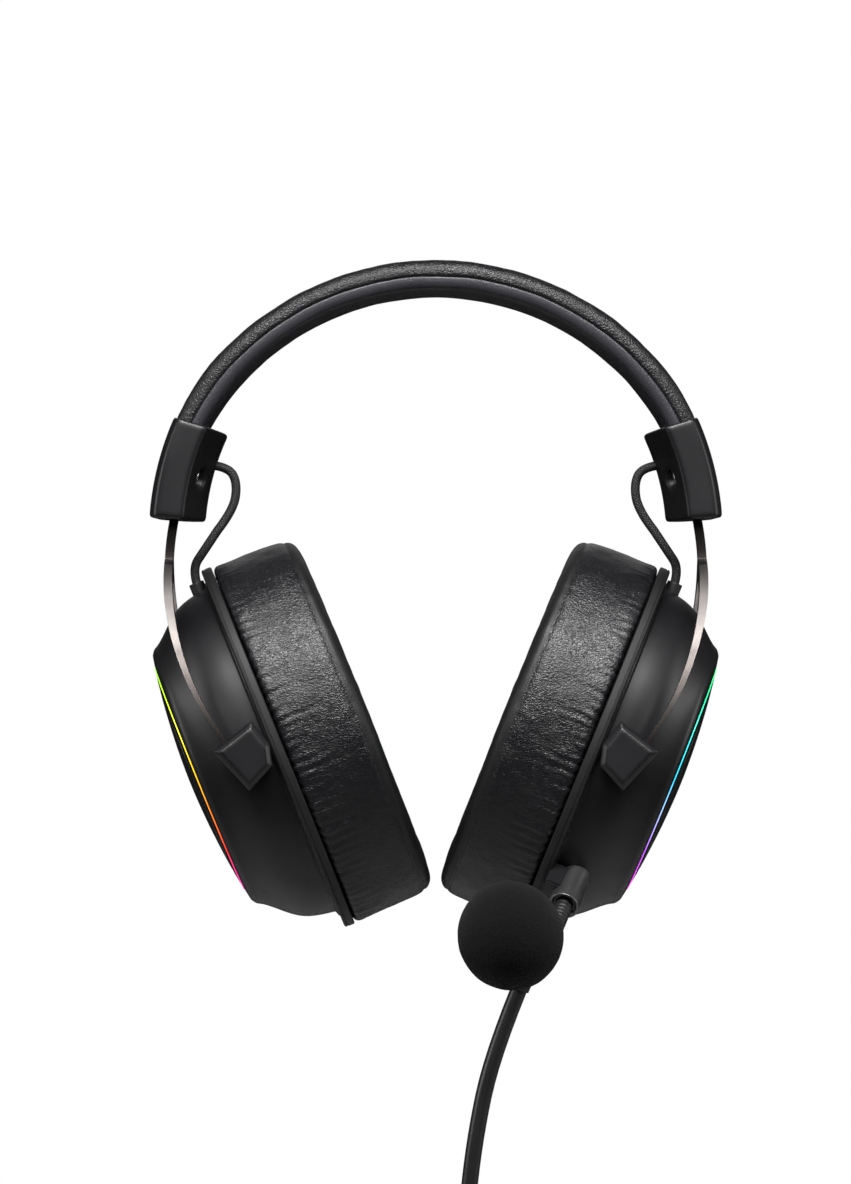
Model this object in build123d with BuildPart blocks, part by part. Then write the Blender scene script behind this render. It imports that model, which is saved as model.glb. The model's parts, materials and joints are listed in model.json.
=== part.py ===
from build123d import *
import os
from math import asin, cos, degrees, pi, radians, sin, sqrt, tan

# Wired gaming headset, millimetres, +Z up, the wearer's face towards -Y.
# The origin is the middle of the headband's underside, where it rests on the crown.
# Left is -X. The left-hand pieces are modelled and the right-hand ones are their mirror images.

os.makedirs("parts", exist_ok=True)

# ---------------------------------------------------------------- driving dimensions
# Headband: layers on arcs about one axis parallel to Y, which lies BAND_RADIUS below the crown.
BAND_RADIUS = 74.2
BAND_DEPTH = 9.2
BAND_WIDTH = 33.0
BAND_ANGLE = 64.0
BAND_CORNER = 3.5
BAND_SPLIT = 78.4
SKIN = 1.2
SPRING_RADIUS = 79.0
SPRING_THICKNESS = 0.8
SPRING_WIDTH = 6.0
SPRING_OFFSET = 10.5
SPRING_ANGLE = 78.0

# Slider housing: a moulded box on the end of the band, closed by a V-shaped inner cover.
# Its radii are measured from its own centre, and its top is a flat cut where the band meets it.
HOUSING_CENTRE_X = 3.0
HOUSING_CENTRE_Z = -69.2
HOUSING_START = 61.0
HOUSING_BOTTOM = 86.1
HOUSING_OUTER = 83.8
HOUSING_SHOULDER = 82.0
HOUSING_SPLIT = 74.0
HOUSING_RIDGE = 68.8
JOINT_X = -66.5
JOINT_Z = -37.3
JOINT_SLOPE = 17.0
HOUSING_HALF_WIDTH = 18.0
HOUSING_HALF_BACK = 14.0
HOUSING_HALF_RIDGE = 3.0
SCREW_ANGLE = 72.0
SCREW_OFFSET = 9.5
SCREW_SEAT = 70.7
SCREW_HEAD_RADIUS = 2.6
SCREW_HEAD = 1.6
SCREW_SHANK_RADIUS = 1.3
SCREW_SHANK = 7.0
SCREW_SOCKET_RADIUS = 1.2
SCREW_SOCKET = 0.9

# Left cup: its flange plane leans 22 degrees and toes in by 3.2 degrees.
CUP_X = -44.7
CUP_Y = 1.68
CUP_Z = -128.5
CUP_LEAN = 22.0
CUP_TOE = 3.2
# Shell outline as (height above the flange, half length, half width).
SHELL_OUTLINE = [
    (0.0, 51.5, 43.0),
    (2.4, 49.8, 41.5),
    (7.4, 48.9, 41.0),
    (12.8, 47.5, 39.8),
    (17.0, 43.5, 37.0),
    (22.9, 39.0, 34.5),
    (23.6, 37.4, 33.3),
    (24.1, 34.5, 30.5),
]
CAVITY_TOP = 18.2
CAVITY_OUTLINE = [(2.0, 47.2, 39.0), (12.8, 45.3, 37.6), (CAVITY_TOP, 40.4, 34.2)]
FACE_FLOOR = 20.2
FACE_HALF_LENGTH = 34.2
FACE_HALF_WIDTH = 30.2
LIGHT_WIDTH = 1.2
LIGHT_TOP = 24.75
BOARD_HOLE_HALF_LENGTH = 28.0
BOARD_HOLE_HALF_WIDTH = 24.0
DOME_TOP = 27.3
DOME_RADIUS = 175.0
PLATE_WALL = 2.0
PLATE_HOLLOW = 1.6
# Gap left between pieces that are pressed together.
FIT_GAP = 0.05
BAFFLE = 2.0
BAFFLE_HALF_LENGTH = 48.5
BAFFLE_HALF_WIDTH = 40.2
BAFFLE_HOLE_RADIUS = 1.5
BAFFLE_INNER_HOLES = (7.0, 6)
BAFFLE_OUTER_HOLES = (13.5, 12)
BAFFLE_SCREWS = [(12, 38), (-12, 38), (12, -38), (-12, -38)]
CUP_SCREW_HEAD_RADIUS = 2.2
CUP_SCREW_HEAD = 1.2
CUP_SCREW_RADIUS = 1.2
CUP_SCREW_LENGTH = 9.0
BOSS_RADIUS = 3.0
DRIVER_RADIUS = 23.0
DRIVER_DEPTH = 6.0
DRIVER_WALL = 3.0
DRIVER_BACK = 2.0
MAGNET_RADIUS = 12.0
MAGNET_DEPTH = 5.0
DIAPHRAGM_HEIGHT = 1.0
DIAPHRAGM = 0.5
COIL_RADIUS = 8.0
COIL_WALL = 0.8
COIL_LENGTH = 1.8
# Flange: a flat ring under the shell, with a rim that stands up round the shell's foot.
RING_DEPTH = 1.2
RIM_HEIGHT = 1.9
RIM_HALF_LENGTH = 51.6
RIM_HALF_WIDTH = 43.1
RING_HALF_LENGTH = 55.0
RING_HALF_WIDTH = 44.8
RING_HOLE_HALF_LENGTH = 46.0
RING_HOLE_HALF_WIDTH = 37.5
CUSHION_TOP = 26.8
CUSHION_HALF_LENGTH = 54.8
CUSHION_HALF_WIDTH = 44.5
CUSHION_EDGE = 5.0
EAR_HALF_LENGTH = 30.0
EAR_HALF_WIDTH = 21.0
MESH_DEPTH = 0.8

# Yoke: a bent plate cut to a fork, whose lower ends carry the cup on two pins.
PIVOT_HEIGHT = 8.0
YOKE_THICKNESS = 2.4
YOKE_ARC_RADIUS = 78.0
YOKE_ARC_X = 2.0
YOKE_ARC_Z = -78.9
YOKE_ARC_TOP = -65.3
YOKE_ARC_END = -130.5
STEM_LENGTH = 27.5
STEM_WIDTH = 13.0
STEM_GAP = 0.3
SLOT_FOOT = 4.0
SLOT_HEAD = 0.5
FORK_HALF_WIDTH = 50.5
FORK_HEIGHT = 57.0
FORK_ARM = 7.0
PIN_RADIUS = 2.5
PIN_GAP = 0.08
PIN_START = 37.4
PIN_LENGTH = 13.0
BUSH_RADIUS = 4.0
BUSH_START = 36.9
BUSH_LENGTH = 4.9
CAP_INNER = 43.5
CAP_OUTER = 53.0
CAP_CHAMFER = 1.4
CAP_OUTLINE = [(-0.8, 12.0), (4.2, 5.6), (4.9, 0.0), (-1.3, -6.8), (-11.2, 3.9)]

# Link cable from each slider housing to the top of its cup.
LINK_RADIUS = 1.3
LINK_ROUTE_UPPER = [
    (-63.6, 0.0, -48.3),
    (-58.8, 0.0, -48.9),
    (-56.5, -0.1, -53.6),
    (-57.6, -0.3, -61.0),
    (-62.0, -0.6, -66.7),
]
GROMMET_RADIUS = 2.2
GROMMET_HEIGHT = 4.4
GROMMET_TIP = 52.2
GROMMET_LENGTH = 6.0
GROMMET_SOCKET = 2.0

# Microphone on the right cup.
MIC_MOUTH = Vector(34.9, -38.0, -170.5)
MIC_AXIS = Vector(-0.265, -0.80, -0.54).normalized()
SOCKET_LENGTH = 15.5
SOCKET_MOUTH_RADIUS = 4.3
SOCKET_BACK_RADIUS = 3.9
SOCKET_BORE = 3.0
SOCKET_BORE_DEPTH = 11.0
SOCKET_CHAMFER = 0.7
FERRULE_GAP = 0.08
NECK_RADIUS = 2.5
NECK_END = Vector(19.2, -109.7, -174.1)
CAPSULE_RADIUS = 4.8
CAPSULE_LENGTH = 13.0
FOAM_RADIUS = 13.2
FOAM_HALF_LENGTH = 16.0

# Controls at the back of the right cup.
WHEEL_RADIUS = 8.0
WHEEL_WIDTH = 4.0
WHEEL_HEIGHT = 10.0
WHEEL_UP = -17.0
WHEEL_PROUD = 2.5
WHEEL_NOTCHES = 28
WHEEL_NOTCH_RADIUS = 0.6
WHEEL_NOTCH_OUT = 0.2
WHEEL_SHAFT_RADIUS = 1.5
WHEEL_SHAFT = 5.4
WHEEL_BEARING_RADIUS = 3.2
WHEEL_BEARING_GAP = 0.8
WHEEL_SIDE_GAP = 0.4
# Half width and half length of the shell's wall at the wheel and at the button.
WALL_AT_WHEEL = (40.0, 47.7)
WALL_AT_BUTTON = (40.4, 48.3)
BUTTON_RADIUS = 3.0
BUTTON_UP = -33.0
BUTTON_PROUD = 1.4
BUTTON_DEPTH = 4.4
BUTTON_LIP = 0.6
BUTTON_GAP = 0.3
BOARD_THICKNESS = 1.6
BOARD_SIZE = (40, 44)
CHIP_HEIGHT = 1.4
# Chips on the board as (x, y, width, length).
CHIPS = [(8, 10, 9, 9), (-10, 4, 6, 10), (4, -12, 12, 5)]

# Cable from the right cup: its free length is wound into a tied hank.
CABLE_RADIUS = 2.4
CABLE_EXIT_HEIGHT = 6.6
CABLE_EXIT = 47.4
RELIEF_LENGTH = 24.5
RELIEF_RADIUS = 3.5
RELIEF_TIP = 2.9
CABLE_STRAIGHT = 21.0
CABLE_ROUTE_BELOW = [
    (11.2, 3.6, -240.5),
    (8.6, 4.2, -264.0),
    (8.5, 4.0, -279.0),
]
HANK_TOP_CENTRE = -287.0
HANK_RUN = 76.0
FOLD_INNER = 14.4
CABLE_PITCH = 4.9
HANK_LAYERS = 4
TIE_HEIGHT = 9.0
TIE_THICKNESS = 1.5
PLUG_TAIL = 16.0
PLUG_LENGTH = 26.0
PLUG_WIDTH = 15.5
PLUG_THICKNESS = 8.0
USB_WIDTH = 12.0
USB_THICKNESS = 4.5
USB_LENGTH = 12.0
USB_WALL = 0.4
USB_TONGUE = 1.6
USB_TONGUE_LOW = 0.4
PLUG_CORNER = 2.5

# ---------------------------------------------------------------- frames
BAND_AXIS = Axis((0, 0, -BAND_RADIUS), (0, 1, 0))
HOUSING_AXIS = Axis((HOUSING_CENTRE_X, 0, HOUSING_CENTRE_Z), (0, 1, 0))
# The cut where the band's left end meets its housing faces up and inward, along the band.
JOINT_NORMAL = Vector(sin(radians(JOINT_SLOPE)), 0, cos(radians(JOINT_SLOPE)))
LEFT_JOINT = Plane(origin=(JOINT_X, 0, JOINT_Z), z_dir=JOINT_NORMAL)
RIGHT_JOINT = Plane(origin=(-JOINT_X, 0, JOINT_Z), z_dir=(-JOINT_NORMAL.X, 0, JOINT_NORMAL.Z))
TOE = radians(CUP_TOE)
LEAN = radians(CUP_LEAN)
FRONT = Vector(sin(TOE), -cos(TOE), 0)
SIDEWAYS = Vector(cos(TOE), sin(TOE), 0)
OUTWARD = Vector(-cos(LEAN) * cos(TOE), -cos(LEAN) * sin(TOE), -sin(LEAN))
UPWARD = Vector(-sin(LEAN) * cos(TOE), -sin(LEAN) * sin(TOE), cos(LEAN))
CUP = Plane(origin=(CUP_X, CUP_Y, CUP_Z), x_dir=FRONT, z_dir=OUTWARD)
PIVOT = CUP.origin + OUTWARD * PIVOT_HEIGHT
# Seen from the front: x is the toed sideways direction and y is up, measured from the pivot.
YOKE_FRONT = Plane(origin=PIVOT, x_dir=SIDEWAYS, z_dir=FRONT)
# Seen from the side: x is the pivot pins' axis and y is up, measured from the pivot.
YOKE_SIDE = Plane(origin=PIVOT, x_dir=FRONT * -1, z_dir=SIDEWAYS)


def mirrored(vector):
    """The same point or direction on the right-hand side."""
    return Vector(-vector.X, vector.Y, vector.Z)


# On the right, x runs to the back of the cup, y up and z outward.
RIGHT_CUP = Plane(origin=mirrored(CUP.origin), x_dir=mirrored(FRONT) * -1, z_dir=mirrored(OUTWARD))


def band_section(angle):
    """Plane across the headband, where x is the radius and y is the part's own Y."""
    a = radians(angle)
    return Plane(origin=(0, 0, -BAND_RADIUS), x_dir=(sin(a), 0, cos(a)), z_dir=(-cos(a), 0, sin(a)))


def housing_section(angle):
    """Plane across the left housing, where x is the radius from the housing's centre and y is Y."""
    a = radians(angle)
    centre = (HOUSING_CENTRE_X, 0, HOUSING_CENTRE_Z)
    return Plane(origin=centre, x_dir=(sin(a), 0, cos(a)), z_dir=(-cos(a), 0, sin(a)))


def band_tangent_plane(angle, radius):
    """Plane square to the radius at an angle from the crown, facing the head."""
    a = radians(angle)
    centre = Vector(radius * sin(a), 0, radius * cos(a) - BAND_RADIUS)
    return Plane(origin=centre, x_dir=(0, 1, 0), z_dir=(-sin(a), 0, -cos(a)))


def corner_radii(points):
    """The radius of each corner of a cord's route, as large as its two runs allow."""
    radii = []
    for before, here, after in zip(points, points[1:], points[2:]):
        first = Vector(*here) - Vector(*before)
        second = Vector(*after) - Vector(*here)
        half_turn = radians(first.get_angle(second)) / 2
        radii.append(0.45 * min(first.length, second.length) / tan(half_turn))
    return radii


def cord_line(points):
    """Straight runs joined by tangent arcs."""
    with BuildLine() as route:
        FilletPolyline(*points, radius=corner_radii(points))
    return route.line


def cord_section(line, radius):
    """A cord's round section at the start of its line."""
    with BuildSketch(Plane(origin=line @ 0, z_dir=line % 0)) as section:
        Circle(radius)
    return section.sketch


def save(piece, name):
    """Label a finished piece and write it as one STEP file."""
    piece.part.label = name
    export_step(piece.part, f"parts/{name}.step")


def save_pair(piece, name):
    """Write a left-hand piece, and its mirror image as the right-hand one."""
    save(piece, f"{name}_left")
    with BuildPart() as twin:
        mirror(piece.part, about=Plane.YZ)
    save(twin, f"{name}_right")


# ---------------------------------------------------------------- headband
with BuildPart() as headband_springs:
    with BuildSketch(band_section(-SPRING_ANGLE)):
        with Locations((SPRING_RADIUS, SPRING_OFFSET), (SPRING_RADIUS, -SPRING_OFFSET)):
            Rectangle(SPRING_THICKNESS, SPRING_WIDTH)
    revolve(axis=BAND_AXIS, revolution_arc=2 * SPRING_ANGLE)
save(headband_springs, "headband_springs")

with BuildPart() as headband_foam:
    with BuildSketch(band_section(-BAND_ANGLE)):
        with Locations((BAND_RADIUS + BAND_DEPTH / 2, 0)):
            RectangleRounded(BAND_DEPTH - 2 * SKIN, BAND_WIDTH - 2 * SKIN, BAND_CORNER - SKIN)
    revolve(axis=BAND_AXIS, revolution_arc=2 * BAND_ANGLE)
    split(bisect_by=LEFT_JOINT, keep=Keep.TOP)
    split(bisect_by=RIGHT_JOINT, keep=Keep.TOP)
    add(headband_springs.part, mode=Mode.SUBTRACT)
save(headband_foam, "headband_foam")


def band_skin(low, high):
    """Section of the band's skin between two radii."""
    with BuildSketch(band_section(-BAND_ANGLE)) as section:
        with Locations((BAND_RADIUS + BAND_DEPTH / 2, 0)):
            RectangleRounded(BAND_DEPTH, BAND_WIDTH, BAND_CORNER)
            RectangleRounded(
                BAND_DEPTH - 2 * SKIN, BAND_WIDTH - 2 * SKIN, BAND_CORNER - SKIN, mode=Mode.SUBTRACT
            )
        with Locations(((low + high) / 2, 0)):
            Rectangle(high - low, BAND_WIDTH, mode=Mode.INTERSECT)
    return section.sketch


with BuildPart() as headband_cover:
    revolve(band_skin(BAND_SPLIT, BAND_RADIUS + BAND_DEPTH), BAND_AXIS, 2 * BAND_ANGLE)
    split(bisect_by=LEFT_JOINT, keep=Keep.TOP)
    split(bisect_by=RIGHT_JOINT, keep=Keep.TOP)
save(headband_cover, "headband_cover")

with BuildPart() as headband_pad:
    revolve(band_skin(BAND_RADIUS, BAND_SPLIT), BAND_AXIS, 2 * BAND_ANGLE)
    split(bisect_by=LEFT_JOINT, keep=Keep.TOP)
    split(bisect_by=RIGHT_JOINT, keep=Keep.TOP)
save(headband_pad, "headband_pad")

# ---------------------------------------------------------------- yoke
stem_x = YOKE_ARC_X - sqrt(YOKE_ARC_RADIUS**2 - (YOKE_ARC_TOP - YOKE_ARC_Z) ** 2)
stem_tilt = degrees(asin((YOKE_ARC_TOP - YOKE_ARC_Z) / YOKE_ARC_RADIUS))
end_tilt = degrees(asin((YOKE_ARC_Z - YOKE_ARC_END) / YOKE_ARC_RADIUS))
arc_centre = (YOKE_ARC_X - PIVOT.X, YOKE_ARC_Z - PIVOT.Z)

with BuildPart() as yoke:
    with BuildSketch(YOKE_FRONT):
        with BuildLine():
            bend = CenterArc(arc_centre, YOKE_ARC_RADIUS, 180 + end_tilt, -end_tilt - stem_tilt)
            PolarLine(bend @ 1, STEM_LENGTH, 90 - stem_tilt)
        trace(line_width=YOKE_THICKNESS)
    extrude(amount=FORK_HALF_WIDTH + 1, both=True)
    with BuildSketch(YOKE_SIDE):
        Ellipse(FORK_HALF_WIDTH, FORK_HEIGHT)
        Ellipse(FORK_HALF_WIDTH - FORK_ARM, FORK_HEIGHT - FORK_ARM, mode=Mode.SUBTRACT)
        with Locations((0, FORK_HEIGHT - FORK_ARM / 2)):
            Rectangle(STEM_WIDTH, 60, align=(Align.CENTER, Align.MIN))
    extrude(amount=40, both=True, mode=Mode.INTERSECT)

STEM_DIRECTION = SIDEWAYS * sin(radians(stem_tilt)) + Vector(0, 0, cos(radians(stem_tilt)))
STEM_FOOT = PIVOT + SIDEWAYS * (stem_x - PIVOT.X) + Vector(0, 0, YOKE_ARC_TOP - PIVOT.Z)

with BuildPart() as pivot_pins:
    for side in (1, -1):
        with BuildSketch(Plane(origin=PIVOT + FRONT * side * PIN_START, z_dir=FRONT * side)):
            Circle(PIN_RADIUS)
        extrude(amount=PIN_LENGTH)

with BuildPart() as pivot_caps:
    for side in (1, -1):
        with BuildSketch(YOKE_FRONT.offset(side * CAP_INNER)):
            with BuildLine():
                Polyline(*CAP_OUTLINE, close=True)
            make_face()
        extrude(amount=side * (CAP_OUTER - CAP_INNER))
    chamfer(pivot_caps.faces().sort_by(Axis(PIVOT, FRONT))[0].edges(), CAP_CHAMFER)
    chamfer(pivot_caps.faces().sort_by(Axis(PIVOT, FRONT))[-1].edges(), CAP_CHAMFER)
    add(yoke.part, mode=Mode.SUBTRACT)
    add(pivot_pins.part, mode=Mode.SUBTRACT)

save_pair(yoke, "yoke")
save_pair(pivot_pins, "pivot_pins")
save_pair(pivot_caps, "pivot_caps")

# ---------------------------------------------------------------- slider housing
with BuildPart() as screw_room:
    with BuildSketch(band_tangent_plane(-SCREW_ANGLE, SCREW_SEAT)):
        with Locations((SCREW_OFFSET, 0), (-SCREW_OFFSET, 0)):
            Circle(SCREW_HEAD_RADIUS)
    extrude(amount=-SCREW_HEAD)
    with BuildSketch(band_tangent_plane(-SCREW_ANGLE, SCREW_SEAT)):
        with Locations((SCREW_OFFSET, 0), (-SCREW_OFFSET, 0)):
            Circle(SCREW_SHANK_RADIUS)
    extrude(amount=-SCREW_SHANK)

with BuildPart() as screws:
    add(screw_room.part)
    with BuildSketch(band_tangent_plane(-SCREW_ANGLE, SCREW_SEAT)):
        with Locations((SCREW_OFFSET, 0), (-SCREW_OFFSET, 0)):
            RegularPolygon(SCREW_SOCKET_RADIUS, 6)
    extrude(amount=-SCREW_SOCKET, mode=Mode.SUBTRACT)
    mirror(about=Plane.YZ)
save(screws, "slider_screws")

with BuildPart() as slider_housing:
    with BuildSketch(housing_section(-HOUSING_BOTTOM)):
        with BuildLine():
            Polyline(
                (HOUSING_SPLIT, -HOUSING_HALF_WIDTH),
                (HOUSING_SHOULDER, -HOUSING_HALF_WIDTH),
                (HOUSING_OUTER, -HOUSING_HALF_BACK),
                (HOUSING_OUTER, HOUSING_HALF_BACK),
                (HOUSING_SHOULDER, HOUSING_HALF_WIDTH),
                (HOUSING_SPLIT, HOUSING_HALF_WIDTH),
                close=True,
            )
        outline = make_face()
        fillet(outline.vertices().filter_by_position(Axis.X, HOUSING_SPLIT + 1, HOUSING_OUTER + 1), 1.5)
    revolve(axis=HOUSING_AXIS, revolution_arc=HOUSING_BOTTOM - HOUSING_START)
    split(bisect_by=LEFT_JOINT, keep=Keep.BOTTOM)
    # Straight slot for the yoke's stem.
    slot_foot = STEM_FOOT - STEM_DIRECTION * SLOT_FOOT
    with BuildSketch(Plane(origin=slot_foot, x_dir=FRONT, z_dir=STEM_DIRECTION)):
        Rectangle(STEM_WIDTH + 2 * STEM_GAP, YOKE_THICKNESS + 2 * STEM_GAP)
    extrude(amount=SLOT_FOOT + STEM_LENGTH + SLOT_HEAD, mode=Mode.SUBTRACT)
    add(headband_springs.part, mode=Mode.SUBTRACT)
    add(screw_room.part, mode=Mode.SUBTRACT)

with BuildPart() as slider_cover:
    with BuildSketch(housing_section(-HOUSING_BOTTOM)):
        with BuildLine():
            Polyline(
                (HOUSING_SPLIT, -HOUSING_HALF_WIDTH),
                (HOUSING_SPLIT, HOUSING_HALF_WIDTH),
                (HOUSING_RIDGE, HOUSING_HALF_RIDGE),
                (HOUSING_RIDGE, -HOUSING_HALF_RIDGE),
                close=True,
            )
        outline = make_face()
        fillet(outline.vertices().filter_by_position(Axis.X, HOUSING_RIDGE - 1, HOUSING_RIDGE + 1), 1.5)
    revolve(axis=HOUSING_AXIS, revolution_arc=HOUSING_BOTTOM - HOUSING_START)
    split(bisect_by=LEFT_JOINT, keep=Keep.BOTTOM)
    with BuildSketch(band_tangent_plane(-SCREW_ANGLE, SCREW_SEAT)):
        with Locations((SCREW_OFFSET, 0), (-SCREW_OFFSET, 0)):
            Circle(SCREW_HEAD_RADIUS + 0.2)
    extrude(amount=6, mode=Mode.SUBTRACT)
    add(screw_room.part, mode=Mode.SUBTRACT)
    # Hole for the link cable.
    link_start = Vector(*LINK_ROUTE_UPPER[0])
    link_entry = (Vector(*LINK_ROUTE_UPPER[1]) - link_start).normalized()
    with BuildSketch(Plane(origin=link_start, z_dir=link_entry)):
        Circle(LINK_RADIUS)
    extrude(amount=6, mode=Mode.SUBTRACT)

save_pair(slider_housing, "slider_housing")
save_pair(slider_cover, "slider_cover")


# ---------------------------------------------------------------- ear cups
def cup_ellipse(height, half_length, half_width):
    """An ellipse across the left cup at a height above its flange."""
    with BuildSketch(CUP.offset(height)) as section:
        Ellipse(half_width, half_length)
    return section.sketch


def cup_oval_ring(height, half_length, half_width, hole_half_length, hole_half_width):
    """An elliptical ring across the left cup at a height above its flange."""
    with BuildSketch(CUP.offset(height)) as section:
        Ellipse(half_width, half_length)
        Ellipse(hole_half_width, hole_half_length, mode=Mode.SUBTRACT)
    return section.sketch


def cup_point(forward, up, height):
    """A point given in the left cup's own directions."""
    return CUP.origin + FRONT * forward + UPWARD * up + OUTWARD * height


with BuildPart() as cup_screws:
    with BuildSketch(CUP):
        with Locations(*BAFFLE_SCREWS):
            Circle(CUP_SCREW_HEAD_RADIUS)
    extrude(amount=CUP_SCREW_HEAD)
    with BuildSketch(CUP):
        with Locations(*BAFFLE_SCREWS):
            Circle(CUP_SCREW_RADIUS)
    extrude(amount=CUP_SCREW_LENGTH)

grommet_base = cup_point(0, GROMMET_TIP - GROMMET_LENGTH, GROMMET_HEIGHT)
with BuildPart() as cable_grommet:
    with BuildSketch(Plane(origin=grommet_base, z_dir=UPWARD)):
        Circle(GROMMET_RADIUS)
    extrude(amount=GROMMET_LENGTH)
    with BuildSketch(Plane(origin=cup_point(0, GROMMET_TIP, GROMMET_HEIGHT), z_dir=UPWARD)):
        Circle(LINK_RADIUS)
    extrude(amount=-GROMMET_SOCKET, mode=Mode.SUBTRACT)

with BuildPart() as pivot_bushes:
    for side in (1, -1):
        with BuildSketch(Plane(origin=PIVOT + FRONT * side * BUSH_START, z_dir=FRONT * side)):
            Circle(BUSH_RADIUS)
            Circle(PIN_RADIUS + PIN_GAP, mode=Mode.SUBTRACT)
        extrude(amount=BUSH_LENGTH)

with BuildPart() as cup_shell:
    loft([cup_ellipse(*row) for row in SHELL_OUTLINE], ruled=True)
    # Cavity, with a seat for the baffle.
    extrude(cup_ellipse(0, BAFFLE_HALF_LENGTH + 0.1, BAFFLE_HALF_WIDTH + 0.1), BAFFLE, mode=Mode.SUBTRACT)
    loft([cup_ellipse(*row) for row in CAVITY_OUTLINE], ruled=True, mode=Mode.SUBTRACT)
    # Screw bosses on the cavity's floor.
    with BuildSketch(CUP.offset(BAFFLE)):
        with Locations(*BAFFLE_SCREWS):
            Circle(BOSS_RADIUS)
    extrude(amount=CAVITY_TOP - BAFFLE)
    # Recess for the light ring and the outer plate, and holes for what passes through the wall.
    extrude(cup_ellipse(FACE_FLOOR, FACE_HALF_LENGTH, FACE_HALF_WIDTH), 10, mode=Mode.SUBTRACT)
    with BuildSketch(YOKE_FRONT):
        Circle(BUSH_RADIUS)
    extrude(amount=60, both=True, mode=Mode.SUBTRACT)
    add(cable_grommet.part, mode=Mode.SUBTRACT)
    add(cup_screws.part, mode=Mode.SUBTRACT)

with BuildPart() as baffle:
    extrude(cup_ellipse(0, BAFFLE_HALF_LENGTH, BAFFLE_HALF_WIDTH), BAFFLE)
    with BuildSketch(CUP):
        Circle(BAFFLE_HOLE_RADIUS)
        with PolarLocations(*BAFFLE_INNER_HOLES):
            Circle(BAFFLE_HOLE_RADIUS)
        with PolarLocations(*BAFFLE_OUTER_HOLES):
            Circle(BAFFLE_HOLE_RADIUS)
    extrude(amount=BAFFLE, mode=Mode.SUBTRACT)
    add(cup_screws.part, mode=Mode.SUBTRACT)

with BuildPart() as driver_frame:
    with BuildSketch(CUP.offset(BAFFLE)):
        Circle(DRIVER_RADIUS)
    extrude(amount=DRIVER_DEPTH)
    with BuildSketch(CUP.offset(BAFFLE)):
        Circle(DRIVER_RADIUS - DRIVER_WALL)
    extrude(amount=DRIVER_DEPTH - DRIVER_BACK, mode=Mode.SUBTRACT)
    with BuildSketch(CUP.offset(BAFFLE + DRIVER_DEPTH)):
        Circle(MAGNET_RADIUS)
    extrude(amount=MAGNET_DEPTH)

with BuildPart() as driver_diaphragm:
    with BuildSketch(CUP.offset(BAFFLE + DIAPHRAGM_HEIGHT)):
        Circle(DRIVER_RADIUS - DRIVER_WALL - FIT_GAP)
    extrude(amount=DIAPHRAGM)
    with BuildSketch(CUP.offset(BAFFLE + DIAPHRAGM_HEIGHT + DIAPHRAGM)):
        Circle(COIL_RADIUS)
        Circle(COIL_RADIUS - COIL_WALL, mode=Mode.SUBTRACT)
    extrude(amount=COIL_LENGTH)

with BuildPart() as cushion_ring:
    ring_section = cup_oval_ring(
        -RING_DEPTH, RING_HALF_LENGTH, RING_HALF_WIDTH, RING_HOLE_HALF_LENGTH, RING_HOLE_HALF_WIDTH
    )
    extrude(ring_section, RING_DEPTH)
    rim_section = cup_oval_ring(0, RING_HALF_LENGTH, RING_HALF_WIDTH, RIM_HALF_LENGTH, RIM_HALF_WIDTH)
    extrude(rim_section, RIM_HEIGHT)

with BuildPart() as ear_cushion:
    cushion_section = cup_oval_ring(
        -CUSHION_TOP, CUSHION_HALF_LENGTH, CUSHION_HALF_WIDTH, EAR_HALF_LENGTH, EAR_HALF_WIDTH
    )
    extrude(cushion_section, CUSHION_TOP - RING_DEPTH)
    fillet(ear_cushion.edges().group_by(Axis(CUP.origin, OUTWARD))[0], CUSHION_EDGE)

with BuildPart() as ear_mesh:
    extrude(cup_ellipse(-MESH_DEPTH, RING_HOLE_HALF_LENGTH - 0.2, RING_HOLE_HALF_WIDTH - 0.2), MESH_DEPTH)

with BuildPart() as led_board:
    board_section = cup_oval_ring(
        FACE_FLOOR,
        FACE_HALF_LENGTH - 2 * FIT_GAP,
        FACE_HALF_WIDTH - 2 * FIT_GAP,
        BOARD_HOLE_HALF_LENGTH,
        BOARD_HOLE_HALF_WIDTH,
    )
    extrude(board_section, LIGHT_WIDTH)

dome_centre = cup_point(0, 0, DOME_TOP - DOME_RADIUS)
plate_half_length = FACE_HALF_LENGTH - LIGHT_WIDTH
plate_half_width = FACE_HALF_WIDTH - LIGHT_WIDTH
with BuildPart() as light_ring:
    light_section = cup_oval_ring(
        FACE_FLOOR + LIGHT_WIDTH,
        FACE_HALF_LENGTH - FIT_GAP,
        FACE_HALF_WIDTH - FIT_GAP,
        plate_half_length,
        plate_half_width,
    )
    extrude(light_section, LIGHT_TOP - FACE_FLOOR - LIGHT_WIDTH)

with BuildPart() as outer_plate:
    plate_section = cup_ellipse(
        FACE_FLOOR + LIGHT_WIDTH, plate_half_length - FIT_GAP, plate_half_width - FIT_GAP
    )
    extrude(plate_section, 8)
    with Locations(dome_centre):
        Sphere(DOME_RADIUS, mode=Mode.INTERSECT)
    hollow = cup_ellipse(
        FACE_FLOOR + LIGHT_WIDTH, plate_half_length - PLATE_WALL, plate_half_width - PLATE_WALL
    )
    extrude(hollow, PLATE_HOLLOW, mode=Mode.SUBTRACT)

save_pair(cup_screws, "cup_screws")
save_pair(cable_grommet, "cable_grommet")
save_pair(pivot_bushes, "pivot_bushes")
save_pair(baffle, "baffle")
save_pair(driver_frame, "driver_frame")
save_pair(driver_diaphragm, "driver_diaphragm")
save_pair(cushion_ring, "cushion_ring")
save_pair(ear_cushion, "ear_cushion")
save_pair(ear_mesh, "ear_mesh")
save_pair(led_board, "led_board")
save_pair(light_ring, "light_ring")
save_pair(outer_plate, "outer_plate")
save(cup_shell, "cup_shell_left")

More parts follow.
